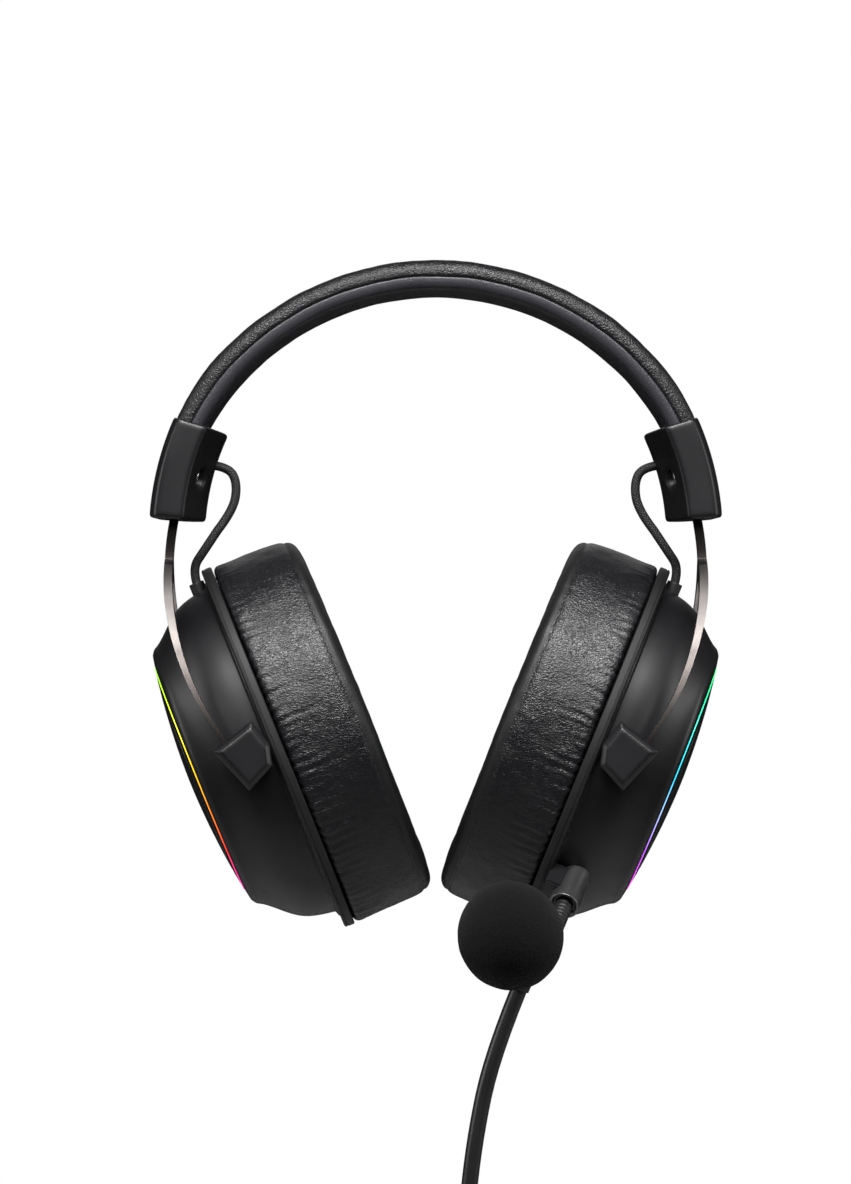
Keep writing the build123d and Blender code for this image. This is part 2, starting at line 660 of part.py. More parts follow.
# ---------------------------------------------------------------- link cables
link_end = cup_point(0, GROMMET_TIP - GROMMET_SOCKET, GROMMET_HEIGHT)
LINK_ROUTE_LOWER = [
    LINK_ROUTE_UPPER[-1],
    (-66.4, -0.9, -72.4),
    tuple(link_end + UPWARD * 6.0),
    tuple(link_end),
]
upper_line = cord_line(LINK_ROUTE_UPPER)
lower_line = cord_line(LINK_ROUTE_LOWER)
with BuildPart() as link_cable_upper:
    sweep(cord_section(upper_line, LINK_RADIUS), upper_line)
with BuildPart() as link_cable_lower:
    sweep(cord_section(lower_line, LINK_RADIUS), lower_line)
save_pair(link_cable_upper, "link_cable_upper")
save_pair(link_cable_lower, "link_cable_lower")

# ---------------------------------------------------------------- microphone
NECK_START = MIC_MOUTH - MIC_AXIS * 5
NECK_BEND = MIC_MOUTH + MIC_AXIS * 1
neck_chord = (NECK_END - NECK_BEND).normalized()
# An arc leaves its far end at the same angle to the chord as it starts.
CAPSULE_AXIS = neck_chord * (2 * MIC_AXIS.dot(neck_chord)) - MIC_AXIS
FOAM_CENTRE = NECK_END + CAPSULE_AXIS * (CAPSULE_LENGTH / 2)
SOCKET_PLANE = Plane(origin=MIC_MOUTH, z_dir=MIC_AXIS * -1)

with BuildPart() as mic_socket:
    with BuildSketch(SOCKET_PLANE):
        Circle(SOCKET_MOUTH_RADIUS)
    with BuildSketch(SOCKET_PLANE.offset(SOCKET_LENGTH)):
        Circle(SOCKET_BACK_RADIUS)
    loft()

with BuildPart() as mic_ferrule:
    with BuildSketch(SOCKET_PLANE.offset(1)):
        Circle(SOCKET_BORE - FERRULE_GAP)
    extrude(amount=SOCKET_BORE_DEPTH - 1.2)
    with BuildSketch(SOCKET_PLANE.offset(1)):
        Circle(NECK_RADIUS)
    extrude(amount=4, mode=Mode.SUBTRACT)

with BuildPart() as mic_gooseneck:
    with BuildLine() as neck_path:
        Line(NECK_START, NECK_BEND)
        TangentArc(NECK_BEND, NECK_END, tangent=MIC_AXIS)
    with BuildSketch(Plane(origin=NECK_START, z_dir=MIC_AXIS)):
        Circle(NECK_RADIUS)
    sweep()

with BuildPart() as mic_capsule:
    with BuildSketch(Plane(origin=NECK_END, z_dir=CAPSULE_AXIS)):
        Circle(CAPSULE_RADIUS)
    extrude(amount=CAPSULE_LENGTH)
    chamfer(mic_capsule.faces().sort_by(Axis(NECK_END, CAPSULE_AXIS))[-1].edges(), 1.0)

with BuildPart() as mic_foam:
    foam_side = CAPSULE_AXIS.cross(Vector(0, 0, 1))
    with BuildSketch(Plane(origin=FOAM_CENTRE, x_dir=CAPSULE_AXIS, z_dir=foam_side)):
        Ellipse(FOAM_HALF_LENGTH, FOAM_RADIUS)
        Rectangle(
            2 * FOAM_HALF_LENGTH, FOAM_RADIUS, align=(Align.CENTER, Align.MIN), mode=Mode.INTERSECT
        )
    revolve(axis=Axis(FOAM_CENTRE, CAPSULE_AXIS))
    add(mic_capsule.part, mode=Mode.SUBTRACT)
    # The gooseneck curves inside its hole, which is wider for it.
    with BuildSketch(Plane(origin=NECK_END, z_dir=CAPSULE_AXIS)):
        Circle(NECK_RADIUS + 1.1)
    extrude(amount=-FOAM_HALF_LENGTH, mode=Mode.SUBTRACT)

# ---------------------------------------------------------------- controls and board of the right cup
def right_point(rearward, up, height):
    """A point given in the right cup's own directions."""
    return RIGHT_CUP.from_local_coords(Vector(rearward, up, height))


wheel_wall = WALL_AT_WHEEL[0] * sqrt(1 - (WHEEL_UP / WALL_AT_WHEEL[1]) ** 2)
wheel_centre = wheel_wall + WHEEL_PROUD - WHEEL_RADIUS
WHEEL_PLANE = Plane(
    origin=right_point(wheel_centre, WHEEL_UP, WHEEL_HEIGHT), x_dir=RIGHT_CUP.x_dir, z_dir=RIGHT_CUP.z_dir
)
with BuildPart() as volume_wheel:
    with BuildSketch(WHEEL_PLANE.offset(-WHEEL_WIDTH / 2)):
        Circle(WHEEL_RADIUS)
        with PolarLocations(WHEEL_RADIUS + WHEEL_NOTCH_OUT, WHEEL_NOTCHES):
            Circle(WHEEL_NOTCH_RADIUS, mode=Mode.SUBTRACT)
    extrude(amount=WHEEL_WIDTH)
    with BuildSketch(WHEEL_PLANE):
        Circle(WHEEL_SHAFT_RADIUS)
    extrude(amount=WHEEL_SHAFT)

wall_width, wall_length = WALL_AT_BUTTON
button_wall = wall_width * sqrt(1 - (BUTTON_UP / wall_length) ** 2)
button_normal = Vector(button_wall / wall_width**2, BUTTON_UP / wall_length**2, 0).normalized()
BUTTON_OUT = RIGHT_CUP.x_dir * button_normal.X + RIGHT_CUP.y_dir * button_normal.Y
BUTTON_PLANE = Plane(
    origin=right_point(button_wall, BUTTON_UP, WHEEL_HEIGHT), x_dir=RIGHT_CUP.z_dir, z_dir=BUTTON_OUT
)
with BuildPart() as mute_button:
    with BuildSketch(BUTTON_PLANE.offset(-BUTTON_DEPTH)):
        Circle(BUTTON_RADIUS)
    extrude(amount=BUTTON_DEPTH + BUTTON_PROUD)
    with BuildSketch(BUTTON_PLANE.offset(-BUTTON_DEPTH)):
        Circle(BUTTON_RADIUS + BUTTON_LIP)
    extrude(amount=1.0)
    fillet(mute_button.faces().sort_by(Axis(BUTTON_PLANE.origin, BUTTON_OUT))[-1].edges(), 0.5)

with BuildPart() as main_board:
    with BuildSketch(RIGHT_CUP.offset(CAVITY_TOP - BOARD_THICKNESS)):
        RectangleRounded(*BOARD_SIZE, 3)
    extrude(amount=BOARD_THICKNESS)
    with BuildSketch(RIGHT_CUP.offset(CAVITY_TOP - BOARD_THICKNESS - CHIP_HEIGHT)):
        for x, y, width, length in CHIPS:
            with Locations((x, y)):
                Rectangle(width, length)
    extrude(amount=CHIP_HEIGHT)

# ---------------------------------------------------------------- cable
RIGHT_DOWN = RIGHT_CUP.y_dir * -1
relief_base = right_point(0, -CABLE_EXIT, CABLE_EXIT_HEIGHT)
relief_tip = relief_base + RIGHT_DOWN * RELIEF_LENGTH
with BuildPart() as strain_relief:
    with BuildSketch(Plane(origin=relief_base, z_dir=RIGHT_DOWN)):
        Circle(RELIEF_RADIUS)
    with BuildSketch(Plane(origin=relief_tip, z_dir=RIGHT_DOWN)):
        Circle(RELIEF_TIP)
    loft()

with BuildPart() as cup_shell_right:
    mirror(cup_shell.part, about=Plane.YZ)
    add(mic_socket.part, mode=Mode.SUBTRACT)
    add(strain_relief.part, mode=Mode.SUBTRACT)
    # Slot and bearing boss of the volume wheel.
    with BuildSketch(WHEEL_PLANE.offset(WHEEL_WIDTH / 2 + WHEEL_BEARING_GAP)):
        Circle(WHEEL_BEARING_RADIUS)
    extrude(amount=CAVITY_TOP - WHEEL_HEIGHT - WHEEL_WIDTH / 2 - WHEEL_BEARING_GAP)
    with BuildSketch(WHEEL_PLANE):
        Circle(WHEEL_SHAFT_RADIUS + PIN_GAP)
    extrude(amount=WHEEL_SHAFT + 0.6, mode=Mode.SUBTRACT)
    with BuildSketch(WHEEL_PLANE.offset(-WHEEL_WIDTH / 2 - WHEEL_SIDE_GAP)):
        with Locations((WHEEL_RADIUS / 2, 0)):
            Rectangle(1.5 * WHEEL_RADIUS, 2 * WHEEL_RADIUS + 1)
    extrude(amount=WHEEL_WIDTH + 2 * WHEEL_SIDE_GAP, mode=Mode.SUBTRACT)
    with BuildSketch(BUTTON_PLANE.offset(-3)):
        Circle(BUTTON_RADIUS + BUTTON_GAP)
    extrude(amount=6, mode=Mode.SUBTRACT)
save(cup_shell_right, "cup_shell_right")

with BuildPart() as bored_socket:
    add(mic_socket.part)
    with BuildSketch(SOCKET_PLANE):
        Circle(SOCKET_BORE)
    extrude(amount=SOCKET_BORE_DEPTH, mode=Mode.SUBTRACT)
    mouth = bored_socket.faces().sort_by(Axis(MIC_MOUTH, MIC_AXIS))[-1]
    chamfer(mouth.edges().sort_by(SortBy.LENGTH)[0], SOCKET_CHAMFER)

save(bored_socket, "mic_socket")
save(mic_ferrule, "mic_ferrule")
save(mic_gooseneck, "mic_gooseneck")
save(mic_capsule, "mic_capsule")
save(mic_foam, "mic_foam")
save(volume_wheel, "volume_wheel")
save(mute_button, "mute_button")
save(main_board, "main_board")
save(strain_relief, "strain_relief")

CABLE_ROUTE = [tuple(relief_tip), tuple(relief_tip + RIGHT_DOWN * CABLE_STRAIGHT)] + CABLE_ROUTE_BELOW
cable_line = cord_line(CABLE_ROUTE)
with BuildPart() as cable:
    sweep(cord_section(cable_line, CABLE_RADIUS), cable_line)
save(cable, "cable")

fold_outer = FOLD_INNER + CABLE_PITCH
hank_half_width = fold_outer + CABLE_RADIUS
hank_thickness = HANK_LAYERS * CABLE_PITCH
hank_middle = HANK_TOP_CENTRE - HANK_RUN / 2
# The cable comes down into the outer left-hand run of the hank's front layer.
hank_x = CABLE_ROUTE[-1][0] + fold_outer
hank_y = CABLE_ROUTE[-1][1] + hank_thickness / 2 - CABLE_PITCH / 2
with BuildPart() as cable_hank:
    with BuildSketch(Plane(origin=(hank_x, hank_y, hank_middle), x_dir=(1, 0, 0), z_dir=(0, -1, 0))):
        SlotCenterToCenter(HANK_RUN, 2 * hank_half_width, rotation=90)
        SlotCenterToCenter(HANK_RUN, 2 * (FOLD_INNER - CABLE_RADIUS), rotation=90, mode=Mode.SUBTRACT)
    extrude(amount=hank_thickness / 2, both=True)
save(cable_hank, "cable_hank")

with BuildPart() as cable_tie:
    with BuildSketch(Plane(origin=(hank_x, hank_y, hank_middle - TIE_HEIGHT / 2))):
        RectangleRounded(
            2 * (hank_half_width + TIE_THICKNESS), hank_thickness + 2 * TIE_THICKNESS, TIE_THICKNESS
        )
        Rectangle(2 * hank_half_width, hank_thickness, mode=Mode.SUBTRACT)
    extrude(amount=TIE_HEIGHT)
save(cable_tie, "cable_tie")

# The cable's end leaves the inner left-hand run and passes in front of the hank to the plug below.
plug_x = hank_x - FOLD_INNER
plug_y = hank_y - hank_thickness / 2 - CABLE_RADIUS
plug_top = HANK_TOP_CENTRE - HANK_RUN - FOLD_INNER


def plug_plane(below):
    """A level plane facing down, a distance below the top of the plug's tail."""
    return Plane(origin=(plug_x, plug_y, plug_top - below), x_dir=(1, 0, 0), z_dir=(0, 0, -1))


with BuildPart() as usb_plug_body:
    with BuildSketch(plug_plane(0)):
        Circle(RELIEF_TIP)
    with BuildSketch(plug_plane(PLUG_TAIL)):
        Circle(RELIEF_RADIUS)
    loft()
    with BuildSketch(plug_plane(PLUG_TAIL)):
        RectangleRounded(PLUG_WIDTH, PLUG_THICKNESS, PLUG_CORNER)
    extrude(amount=PLUG_LENGTH)
    with BuildSketch(plug_plane(PLUG_TAIL + PLUG_LENGTH)):
        with Locations((0, USB_THICKNESS / 2 - USB_WALL - USB_TONGUE / 2)):
            Rectangle(USB_WIDTH - 2 * USB_WALL, USB_TONGUE)
    extrude(amount=USB_LENGTH - USB_TONGUE_LOW)
save(usb_plug_body, "usb_plug_body")

with BuildPart() as usb_plug_shell:
    with BuildSketch(plug_plane(PLUG_TAIL + PLUG_LENGTH)):
        Rectangle(USB_WIDTH, USB_THICKNESS)
        Rectangle(USB_WIDTH - 2 * USB_WALL, USB_THICKNESS - 2 * USB_WALL, mode=Mode.SUBTRACT)
    extrude(amount=USB_LENGTH)
save(usb_plug_shell, "usb_plug_shell")

# ---------------------------------------------------------------- cord report
for title, route, line, radius, piece in [
    ("cable", CABLE_ROUTE, cable_line, CABLE_RADIUS, cable),
    ("link cable, upper", LINK_ROUTE_UPPER, upper_line, LINK_RADIUS, link_cable_upper),
    ("link cable, lower", LINK_ROUTE_LOWER, lower_line, LINK_RADIUS, link_cable_lower),
]:
    print(title, "bend radii", [round(r, 1) for r in corner_radii(route)])
    tube = pi * radius**2 * sum(edge.length for edge in line.edges())
    print(title, "volume over section times length", round(piece.part.volume / tube, 4))
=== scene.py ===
import bmesh
import bpy
import json
import random
from math import acos, atan2, cos, pi, radians, sin, sqrt
from mathutils import Matrix, Vector, noise


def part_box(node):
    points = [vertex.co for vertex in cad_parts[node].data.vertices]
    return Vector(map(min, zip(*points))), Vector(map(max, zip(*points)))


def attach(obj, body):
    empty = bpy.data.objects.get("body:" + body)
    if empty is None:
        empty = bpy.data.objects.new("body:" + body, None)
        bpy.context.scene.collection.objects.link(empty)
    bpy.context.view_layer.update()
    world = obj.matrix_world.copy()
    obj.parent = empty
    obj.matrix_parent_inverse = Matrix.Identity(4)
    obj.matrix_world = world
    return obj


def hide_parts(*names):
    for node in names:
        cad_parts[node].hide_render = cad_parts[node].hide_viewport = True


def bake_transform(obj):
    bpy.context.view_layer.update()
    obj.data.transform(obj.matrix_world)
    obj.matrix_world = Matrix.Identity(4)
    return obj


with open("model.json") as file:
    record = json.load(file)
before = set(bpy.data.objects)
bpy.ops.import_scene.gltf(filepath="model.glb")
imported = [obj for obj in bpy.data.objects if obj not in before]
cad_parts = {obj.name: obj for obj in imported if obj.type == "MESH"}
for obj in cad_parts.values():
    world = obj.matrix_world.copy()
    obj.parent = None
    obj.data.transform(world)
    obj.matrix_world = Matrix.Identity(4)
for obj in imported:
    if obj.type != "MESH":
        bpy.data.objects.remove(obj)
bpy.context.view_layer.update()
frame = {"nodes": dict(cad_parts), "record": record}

# Wired gaming headset, modelled here in millimetres in the CAD frame and stored in metres.
# -Y is the way the wearer faces, +Z is up, and the left cup, as seen from the front, is at -X.
MM = 0.001
RECORD = frame["record"]
SLOT_OF = {part["node"]: part["material_slot"] for part in RECORD["subparts"]}
JOINT = {joint["name"]: joint for joint in RECORD["behaviour"]["joints"]}
MOUNT = {mount["name"]: mount for mount in RECORD["mounts"]}
SIDES = {"left": 1, "right": -1}

# ---- driving dimensions
BAND_RADIUS = 74.2
BAND_DEPTH = 9.2
BAND_HALF_WIDTH = 16.5
BAND_SPLIT = 78.4
# The plane where each end of the band meets its housing: its slope, and how far it is from the axis.
JOINT_SLOPE = 17.0
JOINT_REACH = 15.84
BAND_CROWN = 0.5
END_TAPER = 0.9
TAPER_FROM = 0.8
BAND_ROWS = 220
BAND_FACE_STEPS = 12
BAND_CORNER_STEPS = 8

# Slider housings and yokes. A moulding's edges are rounded in cells of so many millimetres.
HOUSING_CELL = 0.42
HOUSING_ROUNDS = 26
CAP_CELL = 0.26
CAP_ROUNDS = 16
# The heights in metres over which the bare edge's painted highlight and painted shade run, and the turned
# faces that show it.
YOKE_TOP = -0.064
YOKE_FOOT = -0.128
EDGE_TURNED = 0.6
EDGE_NOT_UP = 0.95
YOKE_ARC_CENTRE = Vector((2.0, 0, -78.9))
YOKE_ARC_RADIUS = 78.0
YOKE_THIN_FROM = -86.0
YOKE_THIN_TO = -124.0
YOKE_THINNING = 1.2

PIVOT_HEIGHT = 8.0
FACE_FLOOR = 20.2
CAVITY_TOP = 18.2
# Shell outline as (height above the flange, half length, half width, crease).
SHELL_OUTLINE = [
    (0.0, 51.5, 43.0, 0.9), (2.2, 51.2, 42.8, 0.8), (2.7, 49.6, 41.4, 0.5), (7.4, 49.0, 41.0, 0.0),
    (12.8, 47.3, 39.7, 0.0), (17.6, 42.8, 36.6, 0.0), (20.8, 39.9, 34.9, 0.0), (22.6, 39.1, 34.4, 0.3),
    (23.6, 37.6, 33.4, 0.5), (24.1, 35.0, 31.0, 0.5), (23.7, 34.3, 30.3, 0.7), (FACE_FLOOR, 34.2, 30.2, 0.9),
]
CAVITY_OUTLINE = [
    (CAVITY_TOP, 40.4, 34.2, 0.9), (12.8, 45.3, 37.6, 0.0), (2.0, 47.2, 39.0, 0.9), (2.0, 48.6, 40.3, 0.9),
    (0.0, 48.6, 40.3, 0.9),
]
PLATE_HALF_LENGTH = 32.95
PLATE_HALF_WIDTH = 28.95
LIGHT_TOP = 24.4
# Half the height in metres over which the light's colour changes.
LIGHT_SPAN = 0.034
DOME_TOP = 27.3
DOME_RADIUS = 175.0

# Ear cushion: its section runs round from the base of the outer wall, over the listening face
# and back down the ear opening. Each point is (share of the way out from the opening, height).
EAR_HALF_LENGTH = 30.0
EAR_HALF_WIDTH = 21.0
CUSHION_HALF_LENGTH = 54.8
CUSHION_HALF_WIDTH = 44.5
CUSHION_BASE = -1.2
# Height of the seam round the listening face. Below it the face takes a darker leather, set this far up
# partly to paint the shade on the rounding.
CUSHION_SEAM = -22.9
CUSHION_SECTION = [
    (0.985, -1.3), (0.992, -4.0), (0.985, -8.0), (0.982, -12.0), (0.98, -15.5), (0.975, -19.0),
    (0.965, -21.8), (0.935, -24.4), (0.87, -25.8), (0.77, -26.3), (0.64, -26.4), (0.5, -26.4),
    (0.36, -26.2), (0.22, -25.8), (0.11, -24.8), (0.04, -22.8), (0.01, -19.5), (0.0, -15.0),
    (0.0, -10.5), (0.01, -6.0), (0.04, -2.2), (0.2, -1.3), (0.5, -1.3), (0.8, -1.3),
]
CUSHION_ROUND = 128
CUSHION_CAP = 1.6
CLOTH_FRAMES = 20
CLOTH = {
    "quality": 6, "tension_stiffness": 18, "compression_stiffness": 18, "shear_stiffness": 8,
    "bending_stiffness": 0.8, "use_pressure": True, "uniform_pressure_force": 4.0,
    "vertex_group_mass": "pin",
}
# How far out the ear opening's edge is, as a share, and the mean radius of the outer wall.
OPENING_SHARE = 0.51
WALL_RADIUS = 48.5
# The seams, as (share of the way out, height): round the listening face and round the opening.
SEAMS = [(0.935, CUSHION_SEAM), (0.10, -24.9)]
SEAM_DEPTH = 0.45
SEAM_WIDTH = 0.55
# Gathers in the outer wall: ranges of half width, length, depth and the angle to the next one.
CREASE_WIDTH = (0.42, 0.8)
CREASE_LENGTH = (4, 14)
CREASE_DEPTH = (0.2, 0.6)
CREASE_STEP = (0.03, 0.07)
# The gathers are longest and deepest round this angle, low on the front.
CREASE_FOCUS = -25
CREASE_OUT = 0.86
CREASE_HEIGHT = -21

LINK_RADIUS = 1.3
# The routes of the cords are in metres, and so is the height where a link cable is parted.
LINK_SPLIT = -0.0565
LINK_UPPER = [
    (-0.0636, 0.0, -0.0483), (-0.0588, 0.0, -0.0489), (-0.0565, -0.0001, -0.0536),
    (-0.0576, -0.0003, -0.0610), (-0.0620, -0.0006, -0.0667),
]
LINK_LOWER = [
    (-0.0620, -0.0006, -0.0667), (-0.0658, -0.0009, -0.0724), (-0.06959, 0.00028, -0.07804),
    (-0.06755, 0.00040, -0.08360),
]
CABLE_RADIUS = 2.4
CABLE_ROUTE = [
    (0.02392, 0.00284, -0.19764), (0.01606, 0.00328, -0.21711), (0.0112, 0.0036, -0.2405),
    (0.0086, 0.0042, -0.2640), (0.0085, 0.0040, -0.2790),
]
RELIEF_LENGTH = 24.4
RELIEF_RADIUS = 3.45
RELIEF_TIP = 2.9
# Slots across the strain relief and the lip above them, both measured from its tip.
RELIEF_SLOTS = (2.0, 15.0)
RELIEF_SLOT_DEPTH = 0.28
RELIEF_SLOT_PITCH = 2.4
RELIEF_LIP = (16.0, 18.0)
RELIEF_LIP_HEIGHT = 0.25
FOLD_INNER = 14.4
CABLE_PITCH = 4.9
HANK_LAYERS = 4
HANK_TOP_CENTRE = -287.0
HANK_RUN = 76.0
# How far short of the folds' centres the straight runs stop, and the shares of a run where they cross.
HANK_CLEAR = 3
HANK_CROSSING = (0.2, 0.45, 0.6, 0.85)

MIC_MOUTH = Vector((34.9, -38.0, -170.5))
MIC_AXIS = Vector((-0.265, -0.80, -0.54)).normalized()
NECK_END = Vector((19.2, -109.7, -174.1))
NECK_BEND = MIC_MOUTH + MIC_AXIS
NECK_RADIUS = 2.5
NECK_GROOVE = 0.32
NECK_PITCH = 1.5
NECK_STEPS = 420
CAPSULE_LENGTH = 13.0
FOAM_RADIUS = 13.45
FOAM_HALF_LENGTH = 16.0
# The socket's foot: its size across, along the flange and along the socket, and its place.
FOOT_SIZE = (7.0, 6.4, 9.0)
FOOT_BACK = 8.0
FOOT_INWARD = 3.6


# The left cup's own directions, from its tilt joint and its ear seat.
FRONT = -Vector(JOINT["tilt_left"]["axis"]).normalized()
OUTWARD = -Vector(MOUNT["ear_seat_left"]["axis"]).normalized()
UPWARD = OUTWARD.cross(FRONT).normalized()
if UPWARD.z < 0:
    UPWARD = -UPWARD
RIGHT_OUTWARD = -Vector(MOUNT["ear_seat_right"]["axis"]).normalized()
PIVOT = Vector(JOINT["tilt_left"]["pos_m"]) / MM
CUP_ORIGIN = PIVOT - OUTWARD * PIVOT_HEIGHT


def cup_point(forward, up, height):
    """A point given in the left cup's own directions."""
    return CUP_ORIGIN + FRONT * forward + UPWARD * up + OUTWARD * height


# ---- materials
class Look:
    """A procedural material: a principled shader with nodes in front of it."""

    def __init__(self, name, **sockets):
        self.material = bpy.data.materials.new(name)
        self.material.use_nodes = True
        self.tree = self.material.node_tree
        self.shader = self.tree.nodes["Principled BSDF"]
        for socket, value in sockets.items():
            self.shader.inputs[socket.replace("_", " ")].default_value = value
        self.place = self.node("ShaderNodeTexCoord").outputs["Object"]

    def node(self, kind, settings=None, **inputs):
        """A node with its settings, and its inputs linked or set."""
        made = self.tree.nodes.new(kind)
        for key, value in (settings or {}).items():
            setattr(made, key, value)
        for socket, value in inputs.items():
            self.feed(made.inputs[socket.replace("_", " ")], value)
        return made

    def feed(self, socket, value):
        if isinstance(value, bpy.types.NodeSocket):
            self.tree.links.new(value, socket)
        else:
            socket.default_value = value

    def noise(self, size, detail=3.0, vector=None):
        """Noise whose blotches are about size millimetres across."""
        made = self.node(
            "ShaderNodeTexNoise", Vector=vector or self.place, Scale=1 / (size * MM), Detail=detail
        )
        return made.outputs["Fac"]

    def cells(self, size, feature="DISTANCE_TO_EDGE", vector=None):
        made = self.node(
            "ShaderNodeTexVoronoi", {"feature": feature}, Vector=vector or self.place, Scale=1 / (size * MM)
        )
        return made.outputs["Distance"]

    def stretch(self, scale):
        """The surface's place, stretched along some of its axes."""
        return self.node("ShaderNodeMapping", Vector=self.place, Scale=scale).outputs["Vector"]

    def sum(self, *parts):
        """The weighted sum of (socket, weight) pairs."""
        total = None
        for socket, weight in parts:
            made = self.node("ShaderNodeMath", {"operation": "MULTIPLY_ADD"})
            self.feed(made.inputs[0], socket)
            made.inputs[1].default_value = weight
            self.feed(made.inputs[2], 0.0 if total is None else total)
            total = made.outputs[0]
        return total

    def math(self, operation, first, second=0.0):
        made = self.node("ShaderNodeMath", {"operation": operation})
        self.feed(made.inputs[0], first)
        self.feed(made.inputs[1], second)
        return made.outputs[0]

    def span(self, value, low, high, to_low, to_high):
        """A value's range from low to high, spread over another range."""
        made = self.node(
            "ShaderNodeMapRange", Value=value, From_Min=low, From_Max=high, To_Min=to_low, To_Max=to_high
        )
        return made.outputs["Result"]

    def ramp(self, value, *stops):
        """A colour ramp with (place, colour) stops."""
        made = self.node("ShaderNodeValToRGB", Fac=value)
        made.color_ramp.elements.remove(made.color_ramp.elements[-1])
        made.color_ramp.elements[0].position = stops[0][0]
        made.color_ramp.elements[0].color = (*stops[0][1], 1)
        for place, colour in stops[1:]:
            made.color_ramp.elements.new(place).color = (*colour, 1)
        return made.outputs["Color"]

    def tint(self, value, colour, spread):
        """A colour that varies with a value from darker to lighter."""
        dark = tuple(c * (1 - spread) for c in colour)
        light = tuple(c * (1 + spread) for c in colour)
        self.feed(self.shader.inputs["Base Color"], self.ramp(value, (0.25, dark), (0.75, light)))

    def roughness(self, value, low, high):
        self.feed(self.shader.inputs["Roughness"], self.span(value, 0.3, 0.7, low, high))

    def bump(self, height, depth):
        """Raises the surface by height times depth millimetres."""
        made = self.node("ShaderNodeBump", Height=height, Distance=depth * MM, Strength=1.0)
        self.feed(self.shader.inputs["Normal"], made.outputs["Normal"])


def leather(name, colour, grain, depth, rough, drawn=1.0):
    """Pebbled leather: rounded cells of one grain size, drawn out along X, with pores and broad patches."""
    look = Look(name, Specular_IOR_Level=0.5)
    bent = look.node(
        "ShaderNodeMixRGB",
        {"blend_type": "LINEAR_LIGHT"},
        Fac=grain * MM * 0.7,
        Color1=look.stretch((1 / drawn, 1, 1)),
        Color2=look.node("ShaderNodeTexNoise", Vector=look.place, Scale=0.6 / (grain * MM)).outputs["Color"],
    ).outputs["Color"]
    edge = look.cells(grain, vector=bent)
    pebble = look.span(edge, 0.0, 0.28, 0.0, 1.0)
    folds = look.noise(grain * 2.6, 2.0, bent)
    pores = look.noise(grain * 0.3, 2.0)
    patches = look.noise(grain * 14, 2.0)
    look.bump(look.sum((pebble, 0.6), (folds, 1.1), (pores, 0.25), (patches, 0.5)), depth)
    look.tint(look.sum((patches, 0.6), (pebble, 0.35)), colour, 0.25)
    look.roughness(look.sum((patches, 0.8), (pebble, 0.15)), rough + 0.06, rough - 0.06)
    return look.material


def plastic(name, colour, rough, texture=0.35, depth=0.012, coat=0.0, spread=0.12):
    """Moulded plastic with a fine spark-eroded texture, and a little unevenness in its gloss."""
    look = Look(name, Coat_Weight=coat, Coat_Roughness=0.18)
    fine = look.noise(texture, 2.0)
    broad = look.noise(18, 3.0)
    look.bump(look.sum((fine, 1.0), (broad, 0.5)), depth)
    look.tint(look.sum((broad, 0.7), (fine, 0.3)), colour, spread)
    look.roughness(broad, rough - 0.04, rough + 0.05)
    return look.material


def brushed(name, colour, rough, along=(1, 1, 0.03), metallic=1.0):
    """Metal brushed in one direction."""
    look = Look(name, Metallic=metallic)
    lines = look.noise(0.12, 3.0, look.stretch(along))
    broad = look.noise(9, 2.0)
    look.bump(lines, 0.006)
    look.tint(look.sum((lines, 0.5), (broad, 0.5)), colour, 0.12)
    look.roughness(look.sum((lines, 0.5), (broad, 0.5)), rough - 0.06, rough + 0.08)
    return look.material


def foam(name, colour, pore=0.35):
    """Open-cell foam: small pores all over and a dull surface."""
    look = Look(name, Specular_IOR_Level=0.12, Sheen_Weight=0.03, Sheen_Roughness=0.6)
    holes = look.cells(pore, "F1")
    lumps = look.noise(2.6, 2.0)
    look.bump(look.sum((holes, 0.8), (lumps, 0.8)), 0.16)
    look.tint(look.sum((holes, 0.6), (lumps, 0.5)), colour, 0.3)
    look.roughness(lumps, 0.88, 0.98)
    return look.material


def woven(name, colour, pitch, rough, along="UV"):
    """A braid or cloth of two sets of slanting threads."""
    look = Look(name, Sheen_Weight=0.05, Sheen_Roughness=0.5)
    place = look.node("ShaderNodeTexCoord").outputs[along]
    parts = look.node("ShaderNodeSeparateXYZ", Vector=place)
    u = look.math("MULTIPLY", parts.outputs["X"], 2 * pi / (pitch * MM))
    v = look.math("MULTIPLY", parts.outputs["Y"], 2 * pi / (pitch * MM))
    one = look.math("SINE", look.math("ADD", u, v))
    two = look.math("SINE", look.math("SUBTRACT", u, v))
    threads = look.math("MAXIMUM", one, two)
    wear = look.noise(3.0, 2.0)
    look.bump(look.sum((threads, 0.5), (wear, 0.2)), 0.12)
    look.tint(look.sum((threads, 0.35), (wear, 0.45)), colour, 0.55)
    look.roughness(wear, rough - 0.05, rough + 0.08)
    return look.material


def glowing(name, stops, strength):
    """A light pipe whose colour changes along the cup's height."""
    look = Look(name, Roughness=0.35)
    direction = Vector((SIDES[name.split("_")[1]] * UPWARD.x, UPWARD.y, UPWARD.z))
    dot = look.node("ShaderNodeVectorMath", {"operation": "DOT_PRODUCT"})
    look.feed(dot.inputs[0], look.place)
    dot.inputs[1].default_value = direction
    middle = CUP_ORIGIN.dot(UPWARD) * MM
    share = look.span(dot.outputs["Value"], middle + LIGHT_SPAN, middle - LIGHT_SPAN, 0.0, 1.0)
    colour = look.ramp(share, *stops)
    look.feed(look.shader.inputs["Base Color"], colour)
    look.feed(look.shader.inputs["Emission Color"], colour)
    look.shader.inputs["Emission Strength"].default_value = strength
    look.bump(look.noise(0.8), 0.01)
    return look.material


